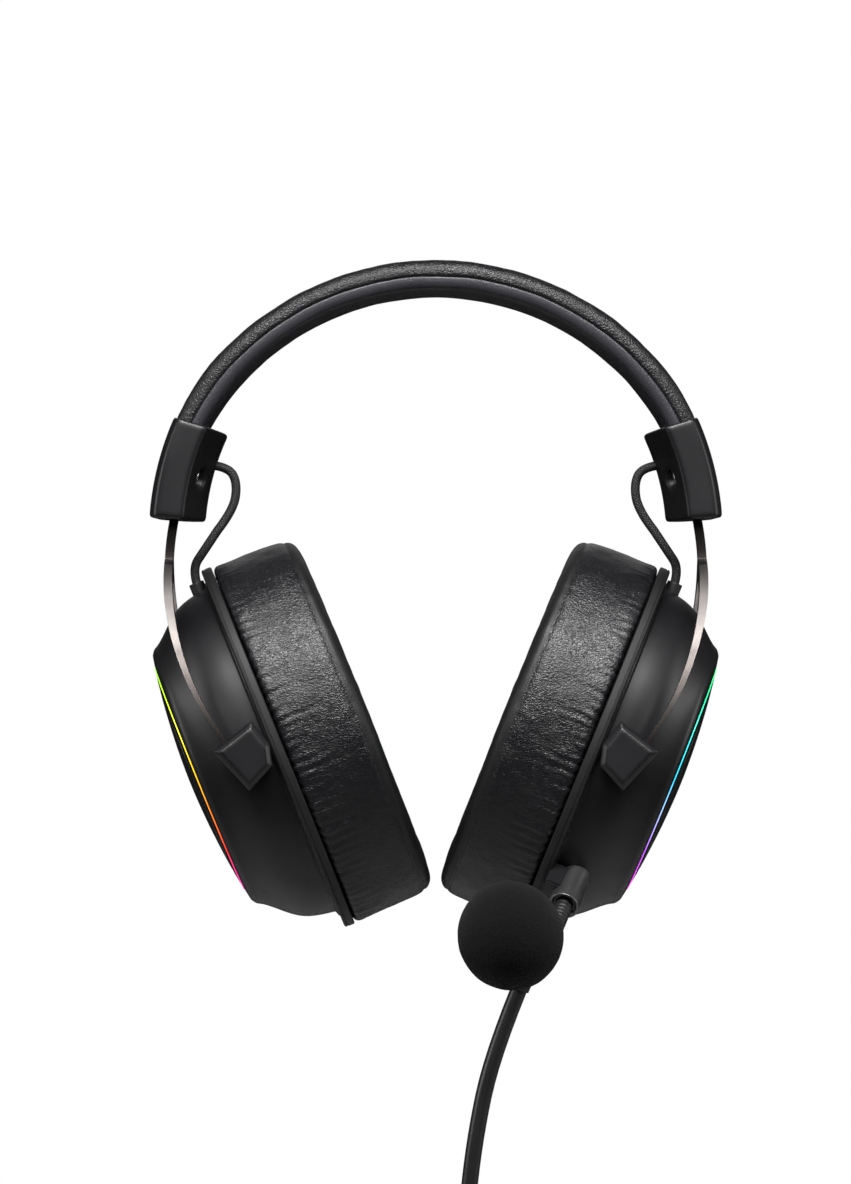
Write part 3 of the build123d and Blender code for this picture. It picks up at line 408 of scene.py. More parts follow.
def yoke_edge():
    """The yoke's bare cut edge: a painted highlight at the top of the fork and painted shade towards both
    its ends.
    """
    look = Look("yoke_edge", Metallic=1.0)
    lines = look.noise(0.12, 3.0, look.stretch((1, 1, 0.03)))
    height = look.node("ShaderNodeSeparateXYZ", Vector=look.place).outputs["Z"]
    share = look.span(height, YOKE_TOP, YOKE_FOOT, 0.0, 1.0)
    # Painted highlight and painted shade: the metal is made bright where the top light glints on the edge,
    # and dark towards the stem and the caps.
    colour = look.ramp(
        share,
        (0.0, (0.012, 0.012, 0.012)), (0.16, (0.10, 0.088, 0.084)), (0.24, (0.50, 0.45, 0.43)),
        (0.34, (0.85, 0.78, 0.75)), (0.46, (0.42, 0.38, 0.36)), (0.57, (0.09, 0.08, 0.075)),
        (0.68, (0.04, 0.035, 0.033)), (0.95, (0.02, 0.018, 0.017)),
    )
    look.feed(look.shader.inputs["Base Color"], colour)
    look.bump(lines, 0.006)
    look.roughness(lines, 0.36, 0.48)
    return look.material


LEFT_LIGHTS = [
    (0.02, (0.30, 0.95, 0.02)), (0.22, (0.75, 0.95, 0.01)), (0.42, (1.0, 0.62, 0.01)),
    (0.62, (1.0, 0.22, 0.01)), (0.8, (1.0, 0.02, 0.02)), (0.97, (0.95, 0.02, 0.42)),
]
RIGHT_LIGHTS = [
    (0.02, (0.03, 0.95, 0.18)), (0.25, (0.02, 0.80, 0.55)), (0.48, (0.03, 0.60, 0.95)),
    (0.64, (0.38, 0.50, 1.0)), (0.8, (0.48, 0.10, 0.95)), (0.97, (0.90, 0.02, 0.80)),
]

LOOKS = {}


def stock(make, name, *values, **options):
    LOOKS[name] = make(name, *values, **options)


stock(leather, "leather_grain", (0.004, 0.004, 0.0052), 0.9, 0.11, 0.45)
stock(leather, "leather_smooth", (0.034, 0.034, 0.041), 0.6, 0.04, 0.42)
stock(leather, "cushion_leather", (0.004, 0.004, 0.0052), 0.68, 0.09, 0.38, 1.9)
# The listening face: a smoother leather, partly its own darker panel and partly painted shade on the
# rounding.
stock(leather, "cushion_face", (0.002, 0.002, 0.0024), 0.7, 0.03, 0.55)
stock(foam, "mic_foam", (0.004, 0.004, 0.0043), 0.45)
stock(brushed, "spring_steel", (0.42, 0.42, 0.43), 0.3)
stock(plastic, "frame_plastic", (0.0036, 0.0037, 0.0048), 0.42)
stock(plastic, "flange_plastic", (0.003, 0.003, 0.0035), 0.6)
stock(plastic, "shell_plastic", (0.003, 0.003, 0.004), 0.43, depth=0.006)
stock(plastic, "plate_plastic", (0.004, 0.004, 0.0046), 0.36, texture=0.5)
stock(plastic, "yoke_metal", (0.003, 0.003, 0.0035), 0.34, texture=0.25, depth=0.006)
LOOKS["yoke_edge"] = yoke_edge()
stock(brushed, "steel", (0.5, 0.5, 0.5), 0.28)
stock(plastic, "bush", (0.05, 0.05, 0.052), 0.5)
stock(glowing, "light_left", LEFT_LIGHTS, 1.3)
stock(glowing, "light_right", RIGHT_LIGHTS, 1.3)
stock(plastic, "board", (0.012, 0.06, 0.028), 0.38, texture=1.4, spread=0.25)
stock(plastic, "inner_plastic", (0.02, 0.02, 0.022), 0.55)
stock(plastic, "diaphragm", (0.12, 0.11, 0.1), 0.3, texture=1.8, depth=0.05)
stock(woven, "ear_mesh", (0.02, 0.02, 0.022), 0.9, 0.75, "Object")
stock(woven, "link_braid", (0.008, 0.008, 0.0088), 0.9, 0.55)
stock(plastic, "rubber", (0.008, 0.008, 0.0086), 0.5, texture=0.6, depth=0.01)
LOOKS["cable"] = plastic("cable_jacket", (0.010, 0.010, 0.0106), 0.38, texture=1.2, depth=0.006, coat=0.1)
stock(brushed, "mic_metal", (0.16, 0.16, 0.165), 0.36, (1, 0.03, 1), 0.9)
stock(brushed, "gooseneck", (0.008, 0.008, 0.0086), 0.5, (1, 1, 1), 0.3)
stock(plastic, "controls", (0.014, 0.014, 0.015), 0.42)
stock(brushed, "usb_steel", (0.62, 0.62, 0.63), 0.22, (0.05, 1, 1))
stock(foam, "hook_tape", (0.013, 0.013, 0.014), 0.7)


# ---- mesh helpers
# Copies of CAD pieces: the welding distance in metres, and the angles up to which faces are flat,
# over which edges are rounded and over which they are shaded sharp.
WELD = 5e-6
FLAT_ANGLE = 0.6
SHARP_ANGLE = 24
CAD_SHADING = 35


def placed(name, data):
    """A new object in the scene."""
    made = bpy.data.objects.new(name, data)
    bpy.context.scene.collection.objects.link(made)
    return made


def add_mesh(name, points, faces, look, flat_angle=40):
    """A new object from points in millimetres, smooth except over sharp edges."""
    mesh = bpy.data.meshes.new(name)
    mesh.from_pydata([Vector(p) * MM for p in points], [], faces)
    return finish_mesh(name, mesh, look, flat_angle)


def finish_mesh(name, mesh, look, flat_angle=40):
    """Turns a mesh's faces outward, shades it and puts it in the scene."""
    bm = bmesh.new()
    bm.from_mesh(mesh)
    bmesh.ops.recalc_face_normals(bm, faces=bm.faces)
    bm.to_mesh(mesh)
    bm.free()
    mesh.shade_smooth()
    mesh.set_sharp_from_angle(angle=radians(flat_angle))
    mesh.materials.append(LOOKS[look])
    piece = placed(name, mesh)
    return piece


def grid(rows, columns, closed_rows=False):
    """Four-sided faces between closed rows of points."""
    faces = []
    for i in range(rows if closed_rows else rows - 1):
        for j in range(columns):
            below, beside = (i + 1) % rows, (j + 1) % columns
            corners = (i * columns + j, i * columns + beside, below * columns + beside, below * columns + j)
            faces.append(corners)
    return faces


def end_faces(rows, columns):
    """The flat faces that close the first and the last row of a grid."""
    return [tuple(range(columns)), tuple((rows - 1) * columns + k for k in range(columns))]


def applied(piece):
    """The piece's mesh with its modifiers applied."""
    graph = bpy.context.evaluated_depsgraph_get()
    mesh = bpy.data.meshes.new_from_object(piece.evaluated_get(graph))
    piece.modifiers.clear()
    old = piece.data
    piece.data = mesh
    bpy.data.meshes.remove(old)
    return piece


def subdivide(piece, levels):
    modifier = piece.modifiers.new("smooth", "SUBSURF")
    modifier.levels = levels
    modifier.render_levels = levels
    modifier.boundary_smooth = "PRESERVE_CORNERS"
    return applied(piece)


def settle(piece, body, slot, *nodes):
    """Rides the piece on its body and puts it in the place of CAD nodes. Its slot is not used."""
    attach(piece, body)
    if nodes:
        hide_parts(*nodes)
    return piece


def twin(piece):
    """The mirror image of a left-hand piece."""
    name = piece.name.replace("left", "right")
    mesh = piece.data.copy()
    mesh.transform(Matrix.Scale(-1, 4, (1, 0, 0)))
    mesh.flip_normals()
    mesh.name = name
    return placed(name, mesh)


def settle_pair(left, right, slot, node):
    """Settles a left-hand piece and its twin on their cups."""
    for side, piece in (("left", left), ("right", right)):
        settle(piece, f"cup_{side}", slot.replace("left", side), f"{node}_{side}")
    return left, right


def cad_mesh(name, nodes):
    """The meshes of CAD nodes as one mesh and its editable form, welded."""
    points, faces = [], []
    for node in nodes:
        source = frame["nodes"][node].data
        first = len(points)
        points += [v.co.copy() for v in source.vertices]
        faces += [[first + corner for corner in p.vertices] for p in source.polygons]
    mesh = bpy.data.meshes.new(name)
    mesh.from_pydata(points, [], faces)
    bm = bmesh.new()
    bm.from_mesh(mesh)
    bmesh.ops.remove_doubles(bm, verts=bm.verts, dist=WELD)
    return mesh, bm


def from_cad(node, name, look, bevel, segments):
    """A finished copy of a CAD piece: its flat faces whole and its sharp edges rounded."""
    mesh, bm = cad_mesh(name, [node])
    bmesh.ops.dissolve_degenerate(bm, edges=bm.edges, dist=WELD)
    bmesh.ops.dissolve_limit(bm, angle_limit=radians(FLAT_ANGLE), verts=bm.verts, edges=bm.edges)
    sharp = radians(SHARP_ANGLE)
    edges = [e for e in bm.edges if len(e.link_faces) == 2 and e.calc_face_angle(0) > sharp]
    rounding = {"segments": segments, "profile": 0.5, "affect": "EDGES", "clamp_overlap": True}
    bmesh.ops.bevel(bm, geom=edges, offset=bevel * MM, **rounding)
    bm.to_mesh(mesh)
    bm.free()
    piece = finish_mesh(name, mesh, look, CAD_SHADING)
    shading = piece.modifiers.new("shading", "WEIGHTED_NORMAL")
    shading.keep_sharp = True
    return piece


def dress(node, name, look, bevel, body, slot=None, segments=2):
    """A finished copy of a CAD piece, settled in that piece's place."""
    return settle(from_cad(node, name, look, bevel, segments), body, slot or look, node)


def moulded(name, look, nodes, cell, rounds):
    """CAD pieces as one moulding with every edge and corner rounded."""
    mesh, bm = cad_mesh(name, nodes)
    bm.to_mesh(mesh)
    bm.free()
    piece = finish_mesh(name, mesh, look, CAD_SHADING)
    cells = piece.modifiers.new("cells", "REMESH")
    cells.mode = "VOXEL"
    cells.voxel_size = cell * MM
    smooth = piece.modifiers.new("smooth", "SMOOTH")
    smooth.factor = 0.5
    smooth.iterations = rounds
    applied(piece)
    piece.data.shade_smooth()
    return piece


def oval(half_length, half_width, height, count):
    """Points round an ellipse across the left cup."""
    turns = [2 * pi * k / count for k in range(count)]
    return [cup_point(half_width * cos(t), half_length * sin(t), height) for t in turns]


def fan(first, count, middle):
    """Three-sided faces from a row of points to a middle point."""
    return [(first + k, first + (k + 1) % count, middle) for k in range(count)]


def oval_piece(name, rows, look, count, levels, ring=False):
    """A closed oval piece from (height, half length, half width, crease) rows.

    The rows run from cap to cap of a solid, or round the section of a ring.
    """
    points = [p for height, a, b, _ in rows for p in oval(a, b, height, count)]
    faces = grid(len(rows), count, closed_rows=ring)
    for row in () if ring else (0, len(rows) - 1):
        points.append(cup_point(0, 0, rows[row][0]))
        faces += fan(row * count, count, len(points) - 1)
    piece = add_mesh(name, points, faces, look, 30)
    mark_creases(piece, rows, count)
    return subdivide(piece, levels)


def mark_creases(piece, rows, count):
    """Keeps the hard edges of an oval piece when it is subdivided."""
    creases = piece.data.attributes.new("crease_edge", "FLOAT", "EDGE")
    for edge in piece.data.edges:
        first, second = (v // count for v in edge.vertices)
        if first == second and first < len(rows):
            creases.data[edge.index].value = rows[first][3]


def nurbs(points, resolution=12):
    """Points along the smooth curve that has a route's points as its control points, in metres."""
    curve = bpy.data.curves.new("route", "CURVE")
    curve.dimensions = "3D"
    curve.resolution_u = resolution
    spline = curve.splines.new("NURBS")
    spline.points.add(len(points) - 1)
    for control, place in zip(spline.points, points):
        control.co = (*place, 1)
    spline.order_u = 3
    spline.use_endpoint_u = True
    holder = bpy.data.objects.new("route", curve)
    mesh = bpy.data.meshes.new_from_object(holder)
    line = [v.co.copy() for v in mesh.vertices]
    bpy.data.meshes.remove(mesh)
    bpy.data.objects.remove(holder)
    bpy.data.curves.remove(curve)
    return line


def tube(name, line, radius, look, count):
    """A round tube along points in metres. radius is in millimetres, or a function of the length so far."""
    radius_at = radius if callable(radius) else lambda run: radius
    tangents = [(b - a).normalized() for a, b in zip(line, line[1:])]
    tangents.append(tangents[-1])
    side = tangents[0].orthogonal().normalized()
    run, points, runs = 0.0, [], []
    for i, (place, tangent) in enumerate(zip(line, tangents)):
        if i:
            run += (place - line[i - 1]).length
            bisector = (tangents[i - 1] + tangent).normalized()
            side = (side - bisector * side.dot(bisector)).normalized()
        around = tangent if i == 0 else bisector
        other = around.cross(side)
        runs.append(run)
        reach = radius_at(run / MM)
        for k in range(count):
            turn = 2 * pi * k / count
            points.append(place / MM + (side * cos(turn) + other * sin(turn)) * reach)
    faces = grid(len(line), count) + end_faces(len(line), count)
    piece = add_mesh(name, points, faces, look, 60)
    layer = piece.data.uv_layers.new(name="UVMap")
    girth = 2 * pi * radius_at(0.0) * MM
    for face in piece.data.polygons:
        columns = [piece.data.loops[k].vertex_index % count for k in face.loop_indices]
        seam = len(columns) == 4 and max(columns) == count - 1 and min(columns) == 0
        for k, column in zip(face.loop_indices, columns):
            row = piece.data.loops[k].vertex_index // count
            around = column + count if seam and column == 0 else column
            layer.data[k].uv = (runs[row], girth * around / count)
    return piece


# ---- camera, lights and floor
CAMERA_PLACE = (-0.0029, -1.0, -0.0844)
CAMERA_TARGET = (-0.0029, 0.0, -0.0844)
LENS = 106.7
SENSOR_WIDTH = 36.0
AMBIENT = 0.012
LIGHT_SPREAD = 70
# (name, place, target, width, height, power)
SOFTBOXES = [
    ("softbox_left", (-0.85, -0.12, 0.02), (0, 0, -0.12), 0.25, 0.6, 0.4),
    ("softbox_right", (0.85, -0.12, 0.02), (0, 0, -0.12), 0.25, 0.6, 0.4),
    ("softbox_top", (0.0, -0.64, 0.58), (0, 0, -0.07), 1.3, 0.20, 5.0),
    ("softbox_front", (0.0, -1.5, 0.30), (0, 0, -0.12), 0.4, 0.25, 0.2),
    ("softbox_back", (0.0, 0.9, 0.35), (0, 0, -0.1), 0.9, 0.6, 0.2),
]
FLOOR_RADIUS = 650
FLOOR_BELOW_PLUG = 20


def aim(thing, place, target):
    thing.location = place
    thing.rotation_mode = "QUATERNION"
    thing.rotation_quaternion = (Vector(target) - Vector(place)).to_track_quat("-Z", "Y")


def set_camera():
    camera = placed("camera", bpy.data.cameras.new("camera"))
    camera.data.lens = LENS
    camera.data.sensor_width = SENSOR_WIDTH
    aim(camera, CAMERA_PLACE, CAMERA_TARGET)
    bpy.context.scene.camera = camera
    bpy.context.scene.view_settings.view_transform = "Standard"


def set_backdrop():
    """A white backdrop, which lights the object only a little."""
    world = bpy.data.worlds.new("studio")
    world.use_nodes = True
    bpy.context.scene.world = world
    nodes, links = world.node_tree.nodes, world.node_tree.links
    nodes.clear()
    rays = nodes.new("ShaderNodeLightPath")
    strength = nodes.new("ShaderNodeMapRange")
    strength.inputs["To Min"].default_value = AMBIENT
    strength.inputs["To Max"].default_value = 1.0
    backdrop = nodes.new("ShaderNodeBackground")
    backdrop.inputs["Color"].default_value = (1, 1, 1, 1)
    output = nodes.new("ShaderNodeOutputWorld")
    links.new(rays.outputs["Is Camera Ray"], strength.inputs["Value"])
    links.new(strength.outputs["Result"], backdrop.inputs["Strength"])
    links.new(backdrop.outputs["Background"], output.inputs["Surface"])


def set_lights():
    for name, place, target, width, height, power in SOFTBOXES:
        light = placed(name, bpy.data.lights.new(name, "AREA"))
        light.data.shape = "RECTANGLE"
        light.data.size = width
        light.data.size_y = height
        light.data.energy = power
        light.data.spread = radians(LIGHT_SPREAD)
        aim(light, place, target)


def set_floor():
    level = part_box("usb_plug_shell")[0].z / MM - FLOOR_BELOW_PLUG
    count = 96
    turns = [2 * pi * k / count for k in range(count)]
    points = [(FLOOR_RADIUS * cos(turn), FLOOR_RADIUS * sin(turn), level) for turn in turns]
    LOOKS["floor"] = plastic("floor", (0.45, 0.45, 0.45), 0.8, texture=5, spread=0.02)
    floor = add_mesh("floor", points, [tuple(range(count))], "floor")


# ---- cable
def hank_points():
    """The cable's points through the hank: outer turns to the back, then inner turns to the front."""
    outer = FOLD_INNER + CABLE_PITCH
    middle_x = CABLE_ROUTE[-1][0] / MM + outer
    front_y = CABLE_ROUTE[-1][1] / MM
    top, bottom = HANK_TOP_CENTRE, HANK_TOP_CENTRE - HANK_RUN
    step = pi / 6
    points = []

    def run_down(radius, y):
        for height in (top - HANK_CLEAR, (top + bottom) / 2, bottom + HANK_CLEAR):
            points.append((middle_x - radius, y, height))

    def fold(radius, y, centre, start):
        reach = radius / cos(step / 2)
        for k in range(6):
            turn = start + step * (k + 0.5)
            points.append((middle_x + reach * cos(turn), y, centre + reach * sin(turn)))

    def run_up(radius, y, next_radius, next_y):
        stages = [(radius, y), (radius, next_y), (radius, next_y), (next_radius, next_y)]
        points.append((middle_x + radius, y, bottom + HANK_CLEAR))
        for (out, depth), share in zip(stages, HANK_CROSSING):
            points.append((middle_x + out, depth, bottom + HANK_RUN * share))
        points.append((middle_x + next_radius, next_y, top - HANK_CLEAR))

    stations = [(outer, layer) for layer in range(HANK_LAYERS)]
    stations += [(FOLD_INNER, layer) for layer in reversed(range(HANK_LAYERS))]
    for (radius, layer), (next_radius, next_layer) in zip(stations, stations[1:]):
        y, next_y = front_y + layer * CABLE_PITCH, front_y + next_layer * CABLE_PITCH
        run_down(radius, y)
        fold(radius, y, bottom, pi)
        run_up(radius, y, next_radius, next_y)
        fold(next_radius, next_y, top, 0.0)
    # The end passes in front of the folds below it and goes into the plug.
    end_x = middle_x - FOLD_INNER
    over_y = front_y - CABLE_PITCH
    plug_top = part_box("usb_plug_body")[1].z / MM
    for y, height in (
        (front_y, top - HANK_CLEAR), (front_y, (top + bottom) / 2 - 6), (front_y, bottom + 24),
        (over_y, bottom + 10), (over_y, bottom - 6), (over_y, plug_top - 1),
    ):
        points.append((end_x, y, height))
    return [Vector(p) * MM for p in points]


def make_cable():
    route = [Vector(p) for p in CABLE_ROUTE] + hank_points()
    line = nurbs(route, 6)
    cable = tube("usb_lead", line, CABLE_RADIUS, "cable", 14)
    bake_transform(cable)
    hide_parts("cable", "cable_hank")

    plug = dress("usb_plug_body", "plug_body", "rubber", 0.7, "yoke_right")
    shell = dress("usb_plug_shell", "plug_shell", "usb_steel", 0.12, "yoke_right")
    tie = dress("cable_tie", "hank_tie", "hook_tape", 0.5, "yoke_right", "rubber")


def make_strain_relief():
    """The tapered boot where the cable leaves the cup, with slots across it."""
    tip = Vector(CABLE_ROUTE[0]) / MM
    along = (Vector(CABLE_ROUTE[0]) - Vector(CABLE_ROUTE[1])).normalized()
    base = tip + along * RELIEF_LENGTH

    def reach(run):
        plain = RELIEF_TIP + (RELIEF_RADIUS - RELIEF_TIP) * run / RELIEF_LENGTH
        wave = max(0.0, sin(2 * pi * run / RELIEF_SLOT_PITCH))
        slots = RELIEF_SLOT_DEPTH * wave if RELIEF_SLOTS[0] < run < RELIEF_SLOTS[1] else 0.0
        lip = RELIEF_LIP_HEIGHT if RELIEF_LIP[0] < run < RELIEF_LIP[1] else 0.0
        return plain - slots + lip

    count = 150
    line = [(tip - along * 0.3).lerp(base, k / count) * MM for k in range(count + 1)]
    piece = tube("cable_boot", line, reach, "rubber", 32)
    settle(piece, "cup_right", "rubber", "strain_relief")


def make_link_cables():
    """Each cable from housing to cup, parted high up into an upper and a lower piece."""
    for side, sign in SIDES.items():
        whole = []
        for route in (LINK_UPPER, LINK_LOWER):
            # The lower route starts where the upper one ends.
            whole = whole[:-1] + nurbs([Vector((sign * x, y, z)) for x, y, z in route])
        split = next(count for count, place in enumerate(whole) if place.z < LINK_SPLIT)
        for part, line, bodies in [
            ("upper", whole[: split + 1], ("headband", f"yoke_{side}")),
            ("lower", whole[split:], (f"yoke_{side}", f"cup_{side}")),
        ]:
            piece = tube(f"link_{part}_{side}", line, LINK_RADIUS, "link_braid", 20)
            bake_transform(piece)
            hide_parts(f"link_cable_{part}_{side}")
        dress(f"cable_grommet_{side}", f"link_grommet_{side}", "rubber", 0.3, f"cup_{side}")


# ---- headband
def band_point(radius, across, angle):
    """A point of the headband: its radius, its place across and its angle from the crown."""
    return Vector((radius * sin(angle), across, radius * cos(angle) - BAND_RADIUS))


def band_layer(name, low, high, half_width, round_low, round_high, look, ripple):
    """A padded layer of the band between two radii, with rounded edges and a crowned face."""
    section = []

    def corner(radius, across, size, start):
        for k in range(BAND_CORNER_STEPS + 1):
            turn = start + pi / 2 * k / BAND_CORNER_STEPS
            section.append((radius + size * sin(turn), across + size * cos(turn)))

    def face(radius, reach):
        for k in range(1, BAND_FACE_STEPS):
            section.append((radius, reach * (1 - 2 * k / BAND_FACE_STEPS)))

    corner(high - round_high, half_width - round_high, round_high, 0)
    face(high, half_width - round_high)
    corner(high - round_high, -half_width + round_high, round_high, pi / 2)
    corner(low + round_low, -half_width + round_low, round_low, pi)
    face(low, round_low - half_width)
    corner(low + round_low, half_width - round_low, round_low, 3 * pi / 2)

    middle = (low + high) / 2
    points = []
    for i in range(BAND_ROWS + 1):
        place_along = 2 * i / BAND_ROWS - 1
        for radius, across in section:
            # The ends are flat, and lie in the planes of the joints with the housings.
            angle = place_along * (acos(JOINT_REACH / radius) - radians(JOINT_SLOPE))
            taper = END_TAPER * max(0.0, (abs(place_along) - TAPER_FROM) / (1 - TAPER_FROM)) ** 1.5
            radius -= taper * max(0.0, radius - BAND_RADIUS) / BAND_DEPTH
            share = across / half_width
            swell = BAND_CROWN * (1 - share**2) * (1 if radius > middle else -1)
            place = band_point(radius, across, angle)
            wave = ripple * noise.noise(place * 0.11) + 0.35 * ripple * noise.noise(place * 0.4)
            points.append(band_point(radius + swell + wave, across * (1 + 0.02 * wave), angle))
    faces = grid(BAND_ROWS + 1, len(section)) + end_faces(BAND_ROWS + 1, len(section))
    return add_mesh(name, points, faces, look, 50)


def make_headband():
    cover = band_layer(
        "band_cover", low=BAND_SPLIT - 0.1, high=BAND_RADIUS + BAND_DEPTH - 0.4, half_width=BAND_HALF_WIDTH,
        round_low=0.9, round_high=3.4, look="leather_grain", ripple=0.22,
    )
    settle(cover, "headband", "leather_grain", "headband_cover", "headband_foam")
    pad = band_layer(
        "band_pad", low=BAND_RADIUS + 0.7, high=BAND_SPLIT + 0.1, half_width=BAND_HALF_WIDTH - 0.35,
        round_low=2.4, round_high=0.7, look="leather_smooth", ripple=0.12,
    )
    settle(pad, "headband", "leather_smooth", "headband_pad")


# ---- slider housings and yokes
def make_housings():
    for side in SIDES:
        nodes = (f"slider_housing_{side}", f"slider_cover_{side}")
        housing = moulded(f"housing_{side}", "frame_plastic", nodes, HOUSING_CELL, HOUSING_ROUNDS)
        settle(housing, "headband", "frame_plastic", *nodes)


def make_yokes():
    for side, sign in SIDES.items():
        yoke = dress(f"yoke_{side}", f"fork_{side}", "yoke_metal", 0.25, f"yoke_{side}")
        yoke.data.materials.append(LOOKS["yoke_edge"])
        front = Vector((sign * FRONT.x, FRONT.y, 0))
        centre = Vector((sign * YOKE_ARC_CENTRE.x, 0, YOKE_ARC_CENTRE.z)) * MM

        def outward(place):
            out = place - centre
            return out - front * out.dot(front)

        # The fork's outer face comes closer to its inner face on the way down to the caps.
        for vertex in yoke.data.vertices:
            out = outward(vertex.co)
            share = (YOKE_THIN_FROM - vertex.co.z / MM) / (YOKE_THIN_FROM - YOKE_THIN_TO)
            if out.length / MM > YOKE_ARC_RADIUS and share > 0:
                vertex.co -= out.normalized() * YOKE_THINNING * min(1.0, share) * MM
        # The turned faces of the bare edge take the material with the painted highlight and painted shade.
        for face in yoke.data.polygons:
            out = outward(face.center)
            if abs(face.normal.dot(out.normalized())) < EDGE_TURNED and face.normal.z < EDGE_NOT_UP:
                face.material_index = 1
        caps = moulded(f"fork_caps_{side}", "frame_plastic", [f"pivot_caps_{side}"], CAP_CELL, CAP_ROUNDS)
        settle(caps, f"yoke_{side}", "frame_plastic", f"pivot_caps_{side}")


# ---- ear cushions
def inflate(piece, pinned):
    """Puffs up a closed mesh with a short cloth simulation, moving each point by the cap at most."""
    group = piece.vertex_groups.new(name="pin")
    group.add(pinned, 1.0, "REPLACE")
    cloth = piece.modifiers.new("cloth", "CLOTH")
    for setting, value in CLOTH.items():
        setattr(cloth.settings, setting, value)
    cloth.settings.effector_weights.gravity = 0.0
    cloth.collision_settings.use_self_collision = False
    scene = bpy.context.scene
    for step in range(1, CLOTH_FRAMES + 1):
        scene.frame_set(step)
    rest = [v.co.copy() for v in piece.data.vertices]
    applied(piece)
    scene.frame_set(1)
    for vertex, start in zip(piece.data.vertices, rest):
        move = vertex.co - start
        if move.length > CUSHION_CAP * MM:
            vertex.co = start + move.normalized() * CUSHION_CAP * MM
    piece.vertex_groups.clear()


def cushion_creases():
    """Gathers in the leather: (angle, half width, length, depth) of each, drawn from a fixed seed."""
    dice = random.Random(7)
    creases, angle = [], 0.0
    while angle < 2 * pi:
        pull = 0.5 + 0.5 * noise.noise((cos(angle) * 2.2, sin(angle) * 2.2, 3.0))
        low_front = max(0.0, cos(angle - radians(CREASE_FOCUS)))
        strength = 0.3 + 0.5 * pull + 0.5 * low_front
        width, length = dice.uniform(*CREASE_WIDTH), dice.uniform(*CREASE_LENGTH)
        depth = dice.uniform(*CREASE_DEPTH)
        creases.append((angle, width, length * strength, depth * strength))
        angle += dice.uniform(*CREASE_STEP)
    return creases


def bell(x):
    """A soft bump: 1 at 0 and close to 0 beyond 2."""
    return 2.718 ** -(x**2)


def crease_move(creases, angle, height):
    """How far the gathers move a point of the outer wall, at its angle round the cushion and height."""
    move = 0.0
    below = CUSHION_BASE - height
    for place, width, length, depth in creases:
        apart = (angle - place + pi) % (2 * pi) - pi
        if abs(apart) * WALL_RADIUS < 3 * width and below < length:
            lean = apart * WALL_RADIUS + 0.25 * sin(below * 0.9 + place * 40)
            fade = (1 - below / length) ** 0.7
            move -= depth * fade * (bell(lean / width) - 0.35)
    return move


def dress_cushion(cushion):
    """Adds unevenness, gathers and seams to the left cushion, and gives its listening face a smoother,
    darker leather whose darkness is partly painted shade on the face's rounding.
    """
    creases = cushion_creases()
    normals = [v.normal.copy() for v in cushion.data.vertices]
    for vertex, normal in zip(cushion.data.vertices, normals):
        local = vertex.co / MM - CUP_ORIGIN
        height = local.dot(OUTWARD)
        up, forward = local.dot(UPWARD) / CUSHION_HALF_LENGTH, local.dot(FRONT) / CUSHION_HALF_WIDTH
        out = (sqrt(up**2 + forward**2) - OPENING_SHARE) / (1 - OPENING_SHARE)
        move = 0.28 * noise.noise(local * 0.09) + 0.12 * noise.noise(local * 0.28)
        if out > CREASE_OUT and height > CREASE_HEIGHT:
            move += crease_move(creases, atan2(up, forward) % (2 * pi), height)
        for seam_out, seam_height in SEAMS:
            gap = sqrt(((out - seam_out) * 22) ** 2 + (height - seam_height) ** 2)
            move -= SEAM_DEPTH * bell(gap / SEAM_WIDTH)
        vertex.co += normal * move * MM
    cushion.data.update()
    # The listening face beyond the seam gets the darker leather, which is partly painted shade.
    cushion.data.materials.append(LOOKS["cushion_face"])
    for face in cushion.data.polygons:
        if (face.center / MM - CUP_ORIGIN).dot(OUTWARD) < CUSHION_SEAM:
            face.material_index = 1


def make_cushions():
    points, pinned = [], []
    for out, height in CUSHION_SECTION:
        a = EAR_HALF_LENGTH + (CUSHION_HALF_LENGTH - EAR_HALF_LENGTH) * out
        b = EAR_HALF_WIDTH + (CUSHION_HALF_WIDTH - EAR_HALF_WIDTH) * out
        if height > CUSHION_BASE - 0.15:
            pinned += range(len(points), len(points) + CUSHION_ROUND)
        points += oval(a, b, height, CUSHION_ROUND)
    faces = grid(len(CUSHION_SECTION), CUSHION_ROUND, closed_rows=True)
    cushion = add_mesh("cushion_left", points, faces, "cushion_leather", 180)
    inflate(cushion, pinned)
    subdivide(cushion, 2)
    dress_cushion(cushion)
    for piece in settle_pair(cushion, twin(cushion), "cushion_leather", "ear_cushion"):
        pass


# ---- cups
def make_cups():
    rows = SHELL_OUTLINE + CAVITY_OUTLINE
    outline, count = len(SHELL_OUTLINE), 96
    points = [p for height, a, b, _ in rows for p in oval(a, b, height, count)]
    faces = grid(outline, count)
    faces += [tuple(v + outline * count for v in face) for face in grid(len(CAVITY_OUTLINE), count)]
    last = (len(rows) - 1) * count
    faces += [(last + k, last + (k + 1) % count, (k + 1) % count, k) for k in range(count)]
    for row, height in ((outline - 1, FACE_FLOOR), (outline, CAVITY_TOP)):
        points.append(cup_point(0, 0, height))
        faces += fan(row * count, count, len(points) - 1)
    shell = add_mesh("shell_left", points, faces, "shell_plastic", 30)
    mark_creases(shell, rows, count)
    subdivide(shell, 2)
    shell.data.set_sharp_from_angle(angle=radians(32))
    right = twin(shell)
    cut_controls(right)
    settle_pair(shell, right, "shell_plastic", "cup_shell")


